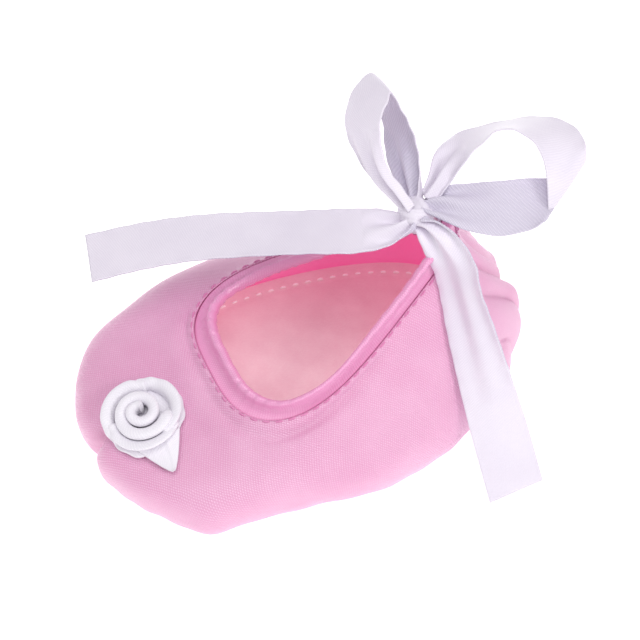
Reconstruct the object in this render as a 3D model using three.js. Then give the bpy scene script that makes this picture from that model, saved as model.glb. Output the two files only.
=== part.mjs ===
// Soft satin ballet slipper for a baby: a padded fabric shoe with an elastic collar,
// a ribbon bow at the heel and a ribbon rose on the toe.
// Millimetres, +Z up. The toe points to -X, the heel to +X, the sole rests on z = 0.
import * as THREE from 'three';
import { mergeVertices } from 'three/addons/utils/BufferGeometryUtils.js';

// ---------- driving sizes ----------
const BULGE_HALF_LENGTH = 54;     // widest outline of the upper, seen from above
const BULGE_MIDDLE_X = -2;
const BULGE_HALF_WIDTH_TOE = 36.5;
const BULGE_HALF_WIDTH_HEEL = 32;
const BULGE_ROUNDNESS = 0.74;
const BULGE_Z = { toe: 13, side: 11, heel: 10 };

const EDGE_HALF_LENGTH = 31;      // top edge of the upper, where the collar begins
const EDGE_MIDDLE_X = 5.5;
const EDGE_HALF_WIDTH_TOE = 25.5;
const EDGE_HALF_WIDTH_HEEL = 10.6;
const EDGE_SHIFT_Y = -1.2;
const EDGE_ROUNDNESS = 0.62;
const EDGE_FRONT_Z = 24;
const EDGE_BACK_Z = 47;
const EDGE_RISE_POWER = 1.6;

const SOLE_INSET = 6;             // the sole is this much smaller than the bulge
const FLANGE_WIDTH = 4;           // seam allowance turned in under the foot
const TOUCH_GAP = 0.3;            // clearance between pieces that touch
const OUTSOLE_THICKNESS = 1.2;
const OUTER_THICKNESS = 0.9;
const LINING_THICKNESS = 0.6;
const FOAM_THICKNESS = 2.4;
const SOCK_THICKNESS = 0.8;
const SOCK_STITCH_INSET = 3.5;
const THREAD_RADIUS = 0.3;

const CASING_WALL = 0.5;          // collar: satin casing folded over the lining's edge
const COLLAR_HEIGHT = 6.5;
const COLLAR_LEAN = { toe: 3.2, side: 2.0, heel: 0.8 };
const CASING_OUTER_LEG = 3;
const CASING_INNER_LEG = 8;
const ELASTIC_WIDTH = 4;
const ELASTIC_THICKNESS = 0.7;
const STITCH_BELOW_EDGE = 1.5;
const CASING_STITCH_ABOVE_HEM = 1.2;

const BACK_TAPE = { width: 6, thickness: 0.5, from: 12, to: 28 };
const ANCHOR = { stations: 4, from: -1, belowTop: 1, thickness: 1.1 };

const RIBBON_WIDTH = 12.7;
const RIBBON_THICKNESS = 0.5;
const KNOT_BELOW_COLLAR_TOP = 0.5;
const KNOT_RADIUS = { along: 3.8, across: 4.2, up: 4.4 };
const RIBBON_STOP_WIDTH = 12.7;     // the width that the ribbons' edges are laid out for

const ROSE_CENTRE = [-43.5, -5.5];
const ROSE_BASE_RADIUS = 9;
const ROSE_BASE_THICKNESS = 0.8;
const ROSE_SEAT_GAP = 1.1;
const ROSE_REACH = 13;            // the toe's curve is measured this far round the rose
const ROSE_HEIGHT = 5;
const ROSE_TURNS = 2.25;
const ROSE_PITCH = 2.1;
const ROSE_PETALS = 3;

const STATIONS = 48;

// ---------- small maths ----------
const UP = new THREE.Vector3(0, 0, 1);
const vec = (x, y, z) => new THREE.Vector3(x, y, z);
const radians = (degrees) => degrees * Math.PI / 180;
const mix = (a, b, t) => a + (b - a) * t;
const smooth = (t) => t * t * (3 - 2 * t);
const along = (v, dir, amount) => v.clone().addScaledVector(dir, amount);
const range = (count) => Array.from({ length: count }, (_, i) => i);

// A closed outline seen from above: angle 0 is the toe, half a turn is the heel.
function outline(angle, shape, grow = 0) {
  const c = Math.cos(angle);
  const s = Math.sin(angle);
  const half = mix(shape.heel, shape.toe, smooth((1 + c) / 2)) + grow;
  return vec(shape.middle - (shape.length + grow) * c,
    shape.shift + half * Math.sign(s) * Math.abs(s) ** shape.roundness, 0);
}

const BULGE = {
  length: BULGE_HALF_LENGTH, middle: BULGE_MIDDLE_X, toe: BULGE_HALF_WIDTH_TOE,
  heel: BULGE_HALF_WIDTH_HEEL, shift: 0, roundness: BULGE_ROUNDNESS,
};
const EDGE = {
  length: EDGE_HALF_LENGTH, middle: EDGE_MIDDLE_X, toe: EDGE_HALF_WIDTH_TOE,
  heel: EDGE_HALF_WIDTH_HEEL, shift: EDGE_SHIFT_Y, roundness: EDGE_ROUNDNESS,
};

// A value that is known at the toe, at the sides and at the heel.
function around(angle, value) {
  const c = Math.cos(angle);
  return mix(value.side, c > 0 ? value.toe : value.heel, c * c);
}

function bezier(a, b, c, d, t) {
  const u = 1 - t;
  return vec(0, 0, 0).addScaledVector(a, u ** 3).addScaledVector(b, 3 * u * u * t)
    .addScaledVector(c, 3 * u * t * t).addScaledVector(d, t ** 3);
}

function flat(v) {
  return vec(v.x, v.y, 0).normalize();
}

// ---------- the upper's outer face ----------
const SOLE_Z = OUTSOLE_THICKNESS + TOUCH_GAP;

function edgePoint(angle) {
  const back = (1 - Math.cos(angle)) / 2;
  return outline(angle, EDGE)
    .setZ(EDGE_FRONT_Z + (EDGE_BACK_Z - EDGE_FRONT_Z) * back ** EDGE_RISE_POWER);
}

// One section of the outer face: turned-in flange, rounded side, then up to the edge.
function sectionCurve(angle) {
  const bulge = outline(angle, BULGE).setZ(around(angle, BULGE_Z));
  const sole = outline(angle, BULGE, -SOLE_INSET).setZ(SOLE_Z);
  const flange = outline(angle, BULGE, -SOLE_INSET - FLANGE_WIDTH).setZ(SOLE_Z);
  const edge = edgePoint(angle);
  const out = flat(bulge.clone().sub(sole));
  const inward = flat(edge.clone().sub(bulge));
  const slope = radians(around(angle, { toe: 14, side: 38, heel: 76 }));
  const rise = inward.clone().multiplyScalar(Math.cos(slope)).addScaledVector(UP, Math.sin(slope));
  const lowPull = around(angle, { toe: 6, side: 5, heel: 5 });
  const highPull = around(angle, { toe: 9, side: 9, heel: 13 });
  const edgePull = around(angle, { toe: 13, side: 9, heel: 13 });
  const points = [flange, flange.clone().lerp(sole, 0.5)];
  for (const i of range(9)) {
    points.push(bezier(sole, along(sole, out, 4), along(bulge, UP, -lowPull), bulge, i / 8));
  }
  for (const i of range(25)) {
    if (i > 0) {
      points.push(bezier(bulge, along(bulge, UP, highPull), along(edge, rise, -edgePull), edge, i / 24));
    }
  }
  return { points, rise, inward, edge };
}

const ANGLES = range(STATIONS).map((i) => 2 * Math.PI * (i + 0.5) / STATIONS);
const SECTIONS = ANGLES.map(sectionCurve);

// Outward normals of the dense surface, and the distance of each point below the edge.
for (const i of range(STATIONS)) {
  const here = SECTIONS[i];
  const before = SECTIONS[(i + STATIONS - 1) % STATIONS].points;
  const after = SECTIONS[(i + 1) % STATIONS].points;
  const last = here.points.length - 1;
  here.normals = here.points.map((p, j) => {
    const up = here.points[Math.min(j + 1, last)].clone().sub(here.points[Math.max(j - 1, 0)]);
    return up.cross(after[j].clone().sub(before[j])).normalize();
  });
  here.below = here.points.map(() => 0);
  for (let j = last - 1; j >= 0; j -= 1) {
    here.below[j] = here.below[j + 1] + here.points[j].distanceTo(here.points[j + 1]);
  }
}

// A point `depth` inside the outer face, `distance` below the edge along the section.
function inside(section, distance, depth) {
  const { points, normals, below } = section;
  let j = points.length - 2;
  while (j > 0 && below[j] < distance) j -= 1;
  const t = (below[j] - distance) / (below[j] - below[j + 1]);
  const normal = normals[j].clone().lerp(normals[j + 1], t).normalize();
  return along(points[j].clone().lerp(points[j + 1], t), normal, -depth);
}

// ---------- closed bodies ----------
function body(positions, faces) {
  const geometry = new THREE.BufferGeometry();
  geometry.setAttribute('position', new THREE.Float32BufferAttribute(positions.flatMap((p) => p.toArray()), 3));
  geometry.setIndex(faces.flat());
  const merged = mergeVertices(geometry, 1e-5);
  merged.computeVertexNormals();
  return merged;
}

function signedVolume(positions, faces) {
  return faces.reduce((sum, [a, b, c]) =>
    sum + positions[a].dot(positions[b].clone().cross(positions[c])) / 6, 0);
}

function closedBody(positions, faces) {
  const outward = signedVolume(positions, faces) > 0;
  return body(positions, outward ? faces : faces.map(([a, b, c]) => [a, c, b]));
}

// A ring: the same closed profile at every station, joined round.
function ring(profiles) {
  const count = profiles.length;
  const size = profiles[0].length;
  const faces = [];
  for (const i of range(count)) {
    for (const j of range(size)) {
      const a = i * size + j;
      const b = i * size + (j + 1) % size;
      const c = ((i + 1) % count) * size + j;
      const d = ((i + 1) % count) * size + (j + 1) % size;
      faces.push([a, b, d], [a, d, c]);
    }
  }
  return closedBody(profiles.flat(), faces);
}

// A strip: the same closed profile at every step, capped at both ends.
function strip(profiles) {
  const count = profiles.length;
  const size = profiles[0].length;
  const faces = [];
  for (const i of range(count - 1)) {
    for (const j of range(size)) {
      const a = i * size + j;
      const b = i * size + (j + 1) % size;
      faces.push([a, b, b + size], [a, b + size, a + size]);
    }
  }
  const end = (count - 1) * size;
  for (const j of range(size - 2)) {
    faces.push([0, j + 2, j + 1], [end, end + j + 1, end + j + 2]);
  }
  return closedBody(profiles.flat(), faces);
}

// A flat plate from an outline between two heights.
function plate(points, low, high) {
  const shape = new THREE.Shape(points.map((p) => new THREE.Vector2(p.x, p.y)));
  const geometry = new THREE.ExtrudeGeometry(shape, { depth: high - low, bevelEnabled: false });
  geometry.translate(0, 0, low);
  geometry.deleteAttribute('normal');
  geometry.deleteAttribute('uv');
  const merged = mergeVertices(geometry, 1e-5);
  merged.computeVertexNormals();
  return merged;
}

// A round thread following a closed path.
function threadRing(path, radius, sides = 5) {
  const count = path.length;
  return ring(path.map((p, i) => {
    const forward = path[(i + 1) % count].clone().sub(path[(i + count - 1) % count]).normalize();
    const side = forward.clone().cross(UP).normalize();
    const lift = side.clone().cross(forward).normalize();
    return range(sides).map((k) => {
      const turn = 2 * Math.PI * k / sides;
      return along(along(p, side, radius * Math.cos(turn)), lift, radius * Math.sin(turn));
    });
  }));
}

// ---------- sole, foam and sock ----------
function soleOutline(grow) {
  return ANGLES.map((angle) => outline(angle, BULGE, -SOLE_INSET + grow));
}

const LINING_DEPTH = OUTER_THICKNESS + TOUCH_GAP;
const FOAM_Z = SOLE_Z + LINING_DEPTH + LINING_THICKNESS + TOUCH_GAP;
const SOCK_Z = FOAM_Z + FOAM_THICKNESS + TOUCH_GAP;
const SOCK_TOP = SOCK_Z + SOCK_THICKNESS;

const outsole = () => plate(soleOutline(0), 0, OUTSOLE_THICKNESS);
const foam = () => plate(soleOutline(-1), FOAM_Z, FOAM_Z + FOAM_THICKNESS);
const sock = () => plate(soleOutline(-0.4), SOCK_Z, SOCK_TOP);

function sockStitching() {
  const z = SOCK_TOP + TOUCH_GAP + THREAD_RADIUS;
  return threadRing(soleOutline(-SOCK_STITCH_INSET).map((p) => p.setZ(z)), THREAD_RADIUS);
}

// ---------- upper and lining ----------
// Rows from the edge down to the flange's end, spaced by share of the section's length.
const ROW_SHARES = [0, 0.08, 0.17, 0.28, 0.4, 0.52, 0.62, 0.71, 0.8, 0.87, 0.93, 1];

function shell(topCut, bottomCut, depthAt, thickness) {
  return ring(SECTIONS.map((section) => {
    const length = section.below[0] - topCut - bottomCut;
    const rows = ROW_SHARES.map((share) => topCut + share * length);
    const outer = rows.map((d) => inside(section, d, depthAt(d)));
    const inner = rows.map((d) => inside(section, d, depthAt(d) + thickness));
    return [...outer, ...inner.reverse()];
  }));
}

const CASING_DEPTH = OUTER_THICKNESS + TOUCH_GAP;
const LINING_TOP_DEPTH = CASING_DEPTH + CASING_WALL + TOUCH_GAP;
const CASING_INNER_DEPTH = LINING_TOP_DEPTH + LINING_THICKNESS + TOUCH_GAP;

// The lining steps inward near the top to make room for the casing's outer leg.
function liningDepth(distance) {
  const t = 1 - Math.min(Math.max((distance - CASING_OUTER_LEG - 1) / 4, 0), 1);
  return mix(LINING_DEPTH, LINING_TOP_DEPTH, smooth(t));
}

const upperOuter = () => shell(0, 0, () => 0, OUTER_THICKNESS);
const upperLining = () => shell(0.6, 0.6, liningDepth, LINING_THICKNESS);

// ---------- collar ----------
// Above the edge the layers leave the upper's surface and follow the leaning collar.
function collarFrame(section, angle) {
  const lean = around(angle, COLLAR_LEAN);
  const up = UP.clone().multiplyScalar(COLLAR_HEIGHT).addScaledVector(section.inward, lean).normalize();
  const inner = section.inward.clone().addScaledVector(up, -section.inward.dot(up)).normalize();
  const last = section.points.length - 1;
  const fromUpper = section.normals[last].clone().negate();
  const mitre = fromUpper.clone().add(inner).divideScalar(1 + fromUpper.dot(inner));
  return { up, inner, mitre };
}

function inCollar(section, frame, depth, height) {
  return along(along(section.edge, frame.mitre, depth), frame.up, height);
}

function casing() {
  const outerDepth = CASING_DEPTH;
  const innerDepth = CASING_INNER_DEPTH;
  const middle = (outerDepth + innerDepth + CASING_WALL) / 2;
  const outerRadius = middle - outerDepth;
  return ring(SECTIONS.map((section, i) => {
    const frame = collarFrame(section, ANGLES[i]);
    const straight = COLLAR_HEIGHT - outerRadius;
    const arc = (radius) => range(5).map((k) => {
      const turn = Math.PI * (k + 1) / 6;
      return inCollar(section, frame, middle - radius * Math.cos(turn), straight + radius * Math.sin(turn));
    });
    const outerFace = [
      inside(section, CASING_OUTER_LEG, outerDepth), inCollar(section, frame, outerDepth, 0),
      inCollar(section, frame, outerDepth, straight), ...arc(outerRadius),
      inCollar(section, frame, innerDepth + CASING_WALL, straight),
      inCollar(section, frame, innerDepth + CASING_WALL, 0),
      inside(section, CASING_INNER_LEG / 2, innerDepth + CASING_WALL),
      inside(section, CASING_INNER_LEG, innerDepth + CASING_WALL),
    ];
    const innerFace = [
      inside(section, CASING_INNER_LEG, innerDepth),
      inside(section, CASING_INNER_LEG / 2, innerDepth),
      inCollar(section, frame, innerDepth, 0), inCollar(section, frame, innerDepth, straight),
      ...arc(outerRadius - CASING_WALL).reverse(),
      inCollar(section, frame, outerDepth + CASING_WALL, straight),
      inCollar(section, frame, outerDepth + CASING_WALL, 0),
      inside(section, CASING_OUTER_LEG, outerDepth + CASING_WALL),
    ];
    return [...outerFace, ...innerFace];
  }));
}

function elastic() {
  const middle = (CASING_DEPTH + CASING_INNER_DEPTH + CASING_WALL) / 2;
  const top = COLLAR_HEIGHT - CASING_WALL - TOUCH_GAP - ELASTIC_THICKNESS / 2 - 0.3;
  return ring(SECTIONS.map((section, i) => {
    const frame = collarFrame(section, ANGLES[i]);
    const half = ELASTIC_THICKNESS / 2;
    return [[-half, top], [half, top], [half, top - ELASTIC_WIDTH], [-half, top - ELASTIC_WIDTH]]
      .map(([depth, height]) => inCollar(section, frame, middle + depth, height));
  }));
}

function edgeStitching() {
  const lift = TOUCH_GAP + THREAD_RADIUS;
  return threadRing(SECTIONS.map((s) => inside(s, STITCH_BELOW_EDGE, -lift)), THREAD_RADIUS);
}

function casingStitching() {
  const depth = CASING_INNER_DEPTH + CASING_WALL + TOUCH_GAP + THREAD_RADIUS;
  const distance = CASING_INNER_LEG - CASING_STITCH_ABOVE_HEM;
  return threadRing(SECTIONS.map((s) => inside(s, distance, depth)), THREAD_RADIUS);
}

// ---------- heel pieces ----------
const HEEL = STATIONS / 2;

// A strip lying on the inside of the heel wall between two distances below the edge.
function heelPatch(halfWidth, from, to, depthAt, thickness) {
  const steps = range(7).map((k) => mix(from, to, k / 6));
  const [left, right] = [SECTIONS[HEEL - 1], SECTIONS[HEEL]];
  return strip(steps.map((d) => {
    const profile = (depth) => [-1, -0.5, 0, 0.5, 1].map((k) => {
      const middle = inside(left, d, depth).lerp(inside(right, d, depth), 0.5);
      return along(middle, vec(0, 1, 0), k * halfWidth);
    });
    const depth = depthAt(d);
    return [...profile(depth), ...profile(depth + thickness).reverse()];
  }));
}

function backTape() {
  const { width, thickness, from, to } = BACK_TAPE;
  const curve = LINING_DEPTH + LINING_THICKNESS + TOUCH_GAP + 0.6;
  return heelPatch(width / 2, from, to, () => curve, thickness);
}

// ---------- ribbons ----------
// A ribbon between two woven edges, each a smooth curve through its own stops.
function ribbon(stops, steps) {
  const edge = (side) => new THREE.CatmullRomCurve3(stops.map((s) => vec(...s[side])), false, 'centripetal');
  const [first, second] = [edge(0), edge(1)];
  return strip(range(steps + 1).map((i) => {
    const t = i / steps;
    const [a, b] = [first.getPoint(t), second.getPoint(t)];
    const forward = first.getTangent(t).add(second.getTangent(t));
    const face = forward.cross(b.clone().sub(a)).normalize().multiplyScalar(RIBBON_THICKNESS / 2);
    const middle = a.clone().lerp(b, 0.5);
    const spread = RIBBON_WIDTH / RIBBON_STOP_WIDTH;
    const [low, high] = [middle.clone().lerp(a, spread), middle.clone().lerp(b, spread)];
    return [low.clone().sub(face), high.clone().sub(face), high.add(face), low.add(face)];
  }));
}

// The knot sits just inside the heel, against the sewn-down middle of the ribbon.
const KNOT_SETBACK = CASING_INNER_DEPTH + CASING_WALL + ANCHOR.thickness + TOUCH_GAP
  + COLLAR_LEAN.heel + KNOT_RADIUS.along;
const KNOT_CENTRE = [
  EDGE_MIDDLE_X + EDGE_HALF_LENGTH - KNOT_SETBACK,
  EDGE_SHIFT_Y / 2,
  EDGE_BACK_Z + COLLAR_HEIGHT - KNOT_BELOW_COLLAR_TOP,
];
const fromKnot = (x, y, z) => [KNOT_CENTRE[0] + x, KNOT_CENTRE[1] + y, KNOT_CENTRE[2] + z];

function knot() {
  const rings = 9;
  const sides = 14;
  const positions = [];
  for (const i of range(rings)) {
    const lat = Math.PI * (i + 0.5) / rings - Math.PI / 2;
    for (const k of range(sides)) {
      const turn = 2 * Math.PI * k / sides;
      const soft = (v) => Math.sign(v) * Math.abs(v) ** 0.8;
      positions.push(vec(...fromKnot(
        KNOT_RADIUS.along * soft(Math.cos(lat)) * soft(Math.cos(turn)),
        KNOT_RADIUS.across * soft(Math.cos(lat)) * soft(Math.sin(turn)),
        KNOT_RADIUS.up * soft(Math.sin(lat)))));
    }
  }
  const faces = [];
  for (const i of range(rings - 1)) {
    for (const k of range(sides)) {
      const a = i * sides + k;
      const b = i * sides + (k + 1) % sides;
      faces.push([a, b, b + sides], [a, b + sides, a + sides]);
    }
  }
  const top = (rings - 1) * sides;
  for (const k of range(sides - 2)) {
    faces.push([0, k + 2, k + 1], [top, top + k + 1, top + k + 2]);
  }
  return closedBody(positions, faces);
}

const TAIL_LEFT = [
  [fromKnot(-3.8, 2.2, -0.7), fromKnot(-5.5, -4.8, 0.8)],
  [fromKnot(-5.7, 4.6, -0.9), fromKnot(-8.9, -5.3, -0.2)],
  [fromKnot(-10.4, 8.8, -2.4), fromKnot(-15.5, -3.1, -1.6)],
  [fromKnot(-21.1, 16.6, -6.3), fromKnot(-26.6, 4.8, -5.4)],
  [fromKnot(-41, 29.1, -11.5), fromKnot(-47.4, 17.9, -12)],
  [fromKnot(-53.6, 35.5, -15.1), fromKnot(-58.7, 23.7, -16.2)],
  [fromKnot(-66, 40.7, -19), fromKnot(-69.3, 28.2, -20.3)],
];
const TAIL_RIGHT = [
  [fromKnot(-1.5, -4.8, -0.8), fromKnot(2.4, -6.5, 3.7)],
  [fromKnot(-1.2, -7.1, -3.6), fromKnot(4.7, -11.2, 3)],
  [fromKnot(0, -9.2, -8.4), fromKnot(6.3, -16.8, -1.1)],
  [fromKnot(0.4, -12.5, -13.6), fromKnot(6.1, -20.8, -6.5)],
  [fromKnot(-0.5, -18.7, -20.9), fromKnot(7.3, -25.4, -14.2)],
  [fromKnot(-1.5, -27.1, -29.7), fromKnot(8.6, -32.4, -24.7)],
  [fromKnot(-2.7, -37.1, -38.4), fromKnot(10, -39.9, -36.4)],
  [fromKnot(-3, -48.9, -51.3), fromKnot(10.1, -50.2, -48.2)],
];
const LOOP_LEFT = [
  [fromKnot(-4.2, 4.3, 2.5), fromKnot(-2.9, 2.3, 7.9)],
  [fromKnot(-6.7, 9.8, 4.4), fromKnot(-4.6, 5.6, 11.4)],
  [fromKnot(-7.6, 16.4, 7.1), fromKnot(-4.7, 8.7, 14.5)],
  [fromKnot(-7.1, 21.9, 9.6), fromKnot(-3.4, 12.5, 17.2)],
  [fromKnot(-4.6, 26.2, 12.6), fromKnot(-1.7, 15.2, 18.5)],
  [fromKnot(-0.3, 29.5, 14.5), fromKnot(0.9, 17.5, 19.6)],
  [fromKnot(3.9, 31, 14.3), fromKnot(2.8, 19.3, 20.1)],
  [fromKnot(5.1, 29.6, 11.5), fromKnot(4, 17.8, 17)],
  [fromKnot(4, 26.1, 7.1), fromKnot(5, 15.3, 14)],
  [fromKnot(2.9, 22.1, 4), fromKnot(5.4, 11.9, 11.1)],
  [fromKnot(1.6, 18, 1.7), fromKnot(5.1, 8.8, 8.4)],
  [fromKnot(0.8, 12.9, 0.6), fromKnot(3.9, 5.5, 6.1)],
  [fromKnot(1.2, 8.1, 0.2), fromKnot(2.5, 3, 4.1)],
];
const LOOP_RIGHT = [
  [fromKnot(2.5, -5.1, 3.1), fromKnot(7, 1.7, 3.6)],
  [fromKnot(5.9, -9.7, 2.9), fromKnot(12.1, -0.2, 4.7)],
  [fromKnot(12.9, -14.5, 2.1), fromKnot(18.8, -4, 6.6)],
  [fromKnot(18.5, -17, 3.6), fromKnot(25.1, -6.3, 6.8)],
  [fromKnot(22, -17.8, 5.4), fromKnot(31.8, -9.1, 7)],
  [fromKnot(24.4, -16.1, 5.1), fromKnot(35.7, -11, 11.5)],
  [fromKnot(25.3, -14, 7.6), fromKnot(37.4, -8.5, 13.8)],
  [fromKnot(26.7, -9.9, 11.7), fromKnot(38.5, -3.9, 13.3)],
  [fromKnot(27.1, -5.8, 14.7), fromKnot(38.5, 1.1, 11.3)],
  [fromKnot(26.1, -1.7, 15.7), fromKnot(36, 5.6, 9.8)],
  [fromKnot(24, 1.4, 15.8), fromKnot(32, 8.9, 8.2)],
  [fromKnot(21.1, 3.1, 15.1), fromKnot(27.1, 11.2, 6.7)],
  [fromKnot(17.2, 2.8, 12.8), fromKnot(21.4, 12.9, 5.7)],
  [fromKnot(13.2, 2.2, 10.3), fromKnot(15.3, 13.2, 5.1)],
  [fromKnot(9.7, 1.7, 6.8), fromKnot(10, 11, 4.4)],
  [fromKnot(6.6, 0.5, 5.1), fromKnot(6.9, 6.6, 3.2)],
];

// The ribbon's folded middle, sewn flat against the inside of the collar at the heel.
function anchor() {
  const depth = CASING_INNER_DEPTH + CASING_WALL + TOUCH_GAP;
  const { stations, from, belowTop, thickness } = ANCHOR;
  const to = COLLAR_HEIGHT - belowTop;
  return strip(range(stations).map((k) => {
    const i = HEEL - stations / 2 + k;
    const frame = collarFrame(SECTIONS[i], ANGLES[i]);
    return [[0, from], [0, to], [thickness, to], [thickness, from]]
      .map(([more, height]) => inCollar(SECTIONS[i], frame, depth + more, height));
  }));
}

// ---------- ribbon rose ----------
const roseSite = (() => {
  let best = null;
  for (const section of SECTIONS) {
    section.points.forEach((p, j) => {
      const away = Math.hypot(p.x - ROSE_CENTRE[0], p.y - ROSE_CENTRE[1]);
      if (p.z > BULGE_Z.toe && (!best || away < best.away)) best = { away, point: p, normal: section.normals[j] };
    });
  }
  return best;
})();

// How fast the toe curves away under the rose, along its two axes (least squares, 1/mm).
const toeCurve = (() => {
  const turn = new THREE.Quaternion().setFromUnitVectors(UP, roseSite.normal).invert();
  const sums = [0, 0, 0, 0, 0];
  for (const section of SECTIONS) {
    for (const p of section.points) {
      const local = p.clone().sub(roseSite.point).applyQuaternion(turn);
      const [a, b] = [local.x ** 2, local.y ** 2];
      if (a + b < ROSE_REACH ** 2 && local.z > -ROSE_REACH / 2) {
        [a * a, a * b, b * b, a * local.z, b * local.z].forEach((v, k) => { sums[k] += v; });
      }
    }
  }
  const [aa, ab, bb, az, bz] = sums;
  const det = aa * bb - ab * ab;
  return [(az * bb - bz * ab) / det, (bz * aa - az * ab) / det];
})();

// Rose pieces are made lying on z = 0, then bent over the toe and set along its normal.
function onToe(geometry) {
  const seat = along(roseSite.point, roseSite.normal, ROSE_SEAT_GAP);
  const turn = new THREE.Quaternion().setFromUnitVectors(UP, roseSite.normal);
  const position = geometry.getAttribute('position');
  for (const i of range(position.count)) {
    const p = vec(position.getX(i), position.getY(i), position.getZ(i));
    p.z += toeCurve[0] * p.x ** 2 + toeCurve[1] * p.y ** 2;
    p.applyQuaternion(turn).add(seat);
    position.setXYZ(i, p.x, p.y, p.z);
  }
  geometry.computeVertexNormals();
  return geometry;
}

// A round cushion made of rings, so that it can bend with the toe.
function roseBase() {
  const rings = [0.25, 0.5, 0.75, 1];
  const sides = 20;
  const side = (z) => rings.map((share) => range(sides).map((k) => {
    const turn = 2 * Math.PI * k / sides;
    return vec(share * ROSE_BASE_RADIUS * Math.cos(turn), share * ROSE_BASE_RADIUS * Math.sin(turn), z);
  }));
  const rows = [...side(0), ...side(ROSE_BASE_THICKNESS).reverse()];
  return onToe(strip(rows));
}

const ROSE_FLOOR = ROSE_BASE_THICKNESS + TOUCH_GAP;

function upright(path, low, highAt, thickness) {
  return strip(path.map((p, i) => {
    const before = path[Math.max(i - 1, 0)];
    const after = path[Math.min(i + 1, path.length - 1)];
    const side = flat(after.clone().sub(before)).cross(UP).multiplyScalar(thickness / 2);
    const high = highAt(i / (path.length - 1));
    return [
      vec(p.x - side.x, p.y - side.y, low), vec(p.x + side.x, p.y + side.y, low),
      vec(p.x + side.x, p.y + side.y, high), vec(p.x - side.x, p.y - side.y, high),
    ];
  }));
}

function roseCoil() {
  const path = range(37).map((i) => {
    const turn = ROSE_TURNS * 2 * Math.PI * i / 36;
    const radius = 0.9 + ROSE_PITCH * turn / (2 * Math.PI);
    return vec(radius * Math.cos(turn), radius * Math.sin(turn), 0);
  });
  return onToe(upright(path, ROSE_FLOOR, (t) => ROSE_FLOOR + ROSE_HEIGHT - 1.2 * t, 0.5));
}

function rosePetal(index) {
  const inner = 0.9 + ROSE_PITCH * ROSE_TURNS + 1;
  const start = 2 * Math.PI * index / ROSE_PETALS + 0.5;
  const path = range(11).map((i) => {
    const turn = start + 2 * Math.PI / ROSE_PETALS * 1.1 * i / 10;
    const radius = inner + 1.6 * i / 10;
    return vec(radius * Math.cos(turn), radius * Math.sin(turn), 0);
  });
  return onToe(upright(path, ROSE_FLOOR, (t) => ROSE_FLOOR + 3.4 + 0.6 * Math.sin(Math.PI * t), 0.6));
}

function roseTail() {
  const halves = [5, 4.2, 3.2, 2, 0.5];
  const lows = [-9.8, -11.2, -12.6, -14, -15.4];
  return onToe(strip(halves.map((half, k) => [
    vec(-half + 0.8, lows[k], 0), vec(half + 0.8, lows[k], 0),
    vec(half + 0.8, lows[k], ROSE_BASE_THICKNESS), vec(-half + 0.8, lows[k], ROSE_BASE_THICKNESS),
  ])));
}

// ---------- assembly ----------
const SATIN = { color: '#e3a3cb', roughness: 0.42 };
const LINING = { color: '#ee6fa6', roughness: 0.8 };
const SOCK = { color: '#e9bfc4', roughness: 0.9 };
const SUEDE = { color: '#d9a9b8', roughness: 0.95 };
const FOAM = { color: '#f1e8d8', roughness: 0.95 };
const WHITE = { color: '#e9e2f0', roughness: 0.45 };
const ELASTIC = { color: '#f3eef0', roughness: 0.85 };
const THREAD = { color: '#d98fbd', roughness: 0.7 };
const WHITE_THREAD = { color: '#f4f1f6', roughness: 0.7 };

const group = new THREE.Group();
group.name = 'ballet_slipper';

function add(name, geometry, look) {
  const mesh = new THREE.Mesh(geometry, new THREE.MeshStandardMaterial({ ...look, metalness: 0 }));
  mesh.name = name;
  group.add(mesh);
}

add('outsole', outsole(), SUEDE);
add('midsole_foam', foam(), FOAM);
add('insole_sock', sock(), SOCK);
add('insole_stitching', sockStitching(), WHITE_THREAD);
add('upper_outer', upperOuter(), SATIN);
add('upper_lining', upperLining(), LINING);
add('collar_casing', casing(), SATIN);
add('collar_elastic', elastic(), ELASTIC);
add('edge_stitching', edgeStitching(), THREAD);
add('casing_stitching', casingStitching(), THREAD);
add('back_seam_tape', backTape(), LINING);
add('ribbon_anchor', anchor(), WHITE);
add('bow_knot', knot(), WHITE);
add('bow_loop_left', ribbon(LOOP_LEFT, 36), WHITE);
add('bow_loop_right', ribbon(LOOP_RIGHT, 45), WHITE);
add('bow_tail_left', ribbon(TAIL_LEFT, 18), WHITE);
add('bow_tail_right', ribbon(TAIL_RIGHT, 21), WHITE);
add('rose_base', roseBase(), WHITE);
add('rose_coil', roseCoil(), WHITE);
for (const index of range(ROSE_PETALS)) add(`rose_petal_${index + 1}`, rosePetal(index), WHITE);
add('rose_tail', roseTail(), WHITE);

export default group;
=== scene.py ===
"""Soft satin ballet slipper for a baby: padded upper, elastic collar, heel bow and toe rose."""
import math
import bmesh
import bpy
import numpy as np
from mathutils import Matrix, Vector


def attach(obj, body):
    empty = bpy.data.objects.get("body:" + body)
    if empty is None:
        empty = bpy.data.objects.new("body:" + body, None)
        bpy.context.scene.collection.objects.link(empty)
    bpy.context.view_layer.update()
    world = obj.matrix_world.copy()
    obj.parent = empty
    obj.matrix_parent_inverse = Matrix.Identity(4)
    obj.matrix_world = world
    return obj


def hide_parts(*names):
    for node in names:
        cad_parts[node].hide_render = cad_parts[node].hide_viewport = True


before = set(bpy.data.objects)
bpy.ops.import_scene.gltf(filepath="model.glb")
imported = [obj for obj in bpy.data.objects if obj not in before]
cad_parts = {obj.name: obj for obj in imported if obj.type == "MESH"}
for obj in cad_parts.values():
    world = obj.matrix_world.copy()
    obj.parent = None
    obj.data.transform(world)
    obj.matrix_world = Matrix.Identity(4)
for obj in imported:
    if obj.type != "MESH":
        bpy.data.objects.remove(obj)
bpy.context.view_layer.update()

# ---------- sizes, in millimetres ----------
MM = 0.001
BULGE = dict(length=54.0, middle=-2.0, toe=36.5, heel=32.0, shift=0.0, roundness=0.74)
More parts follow.
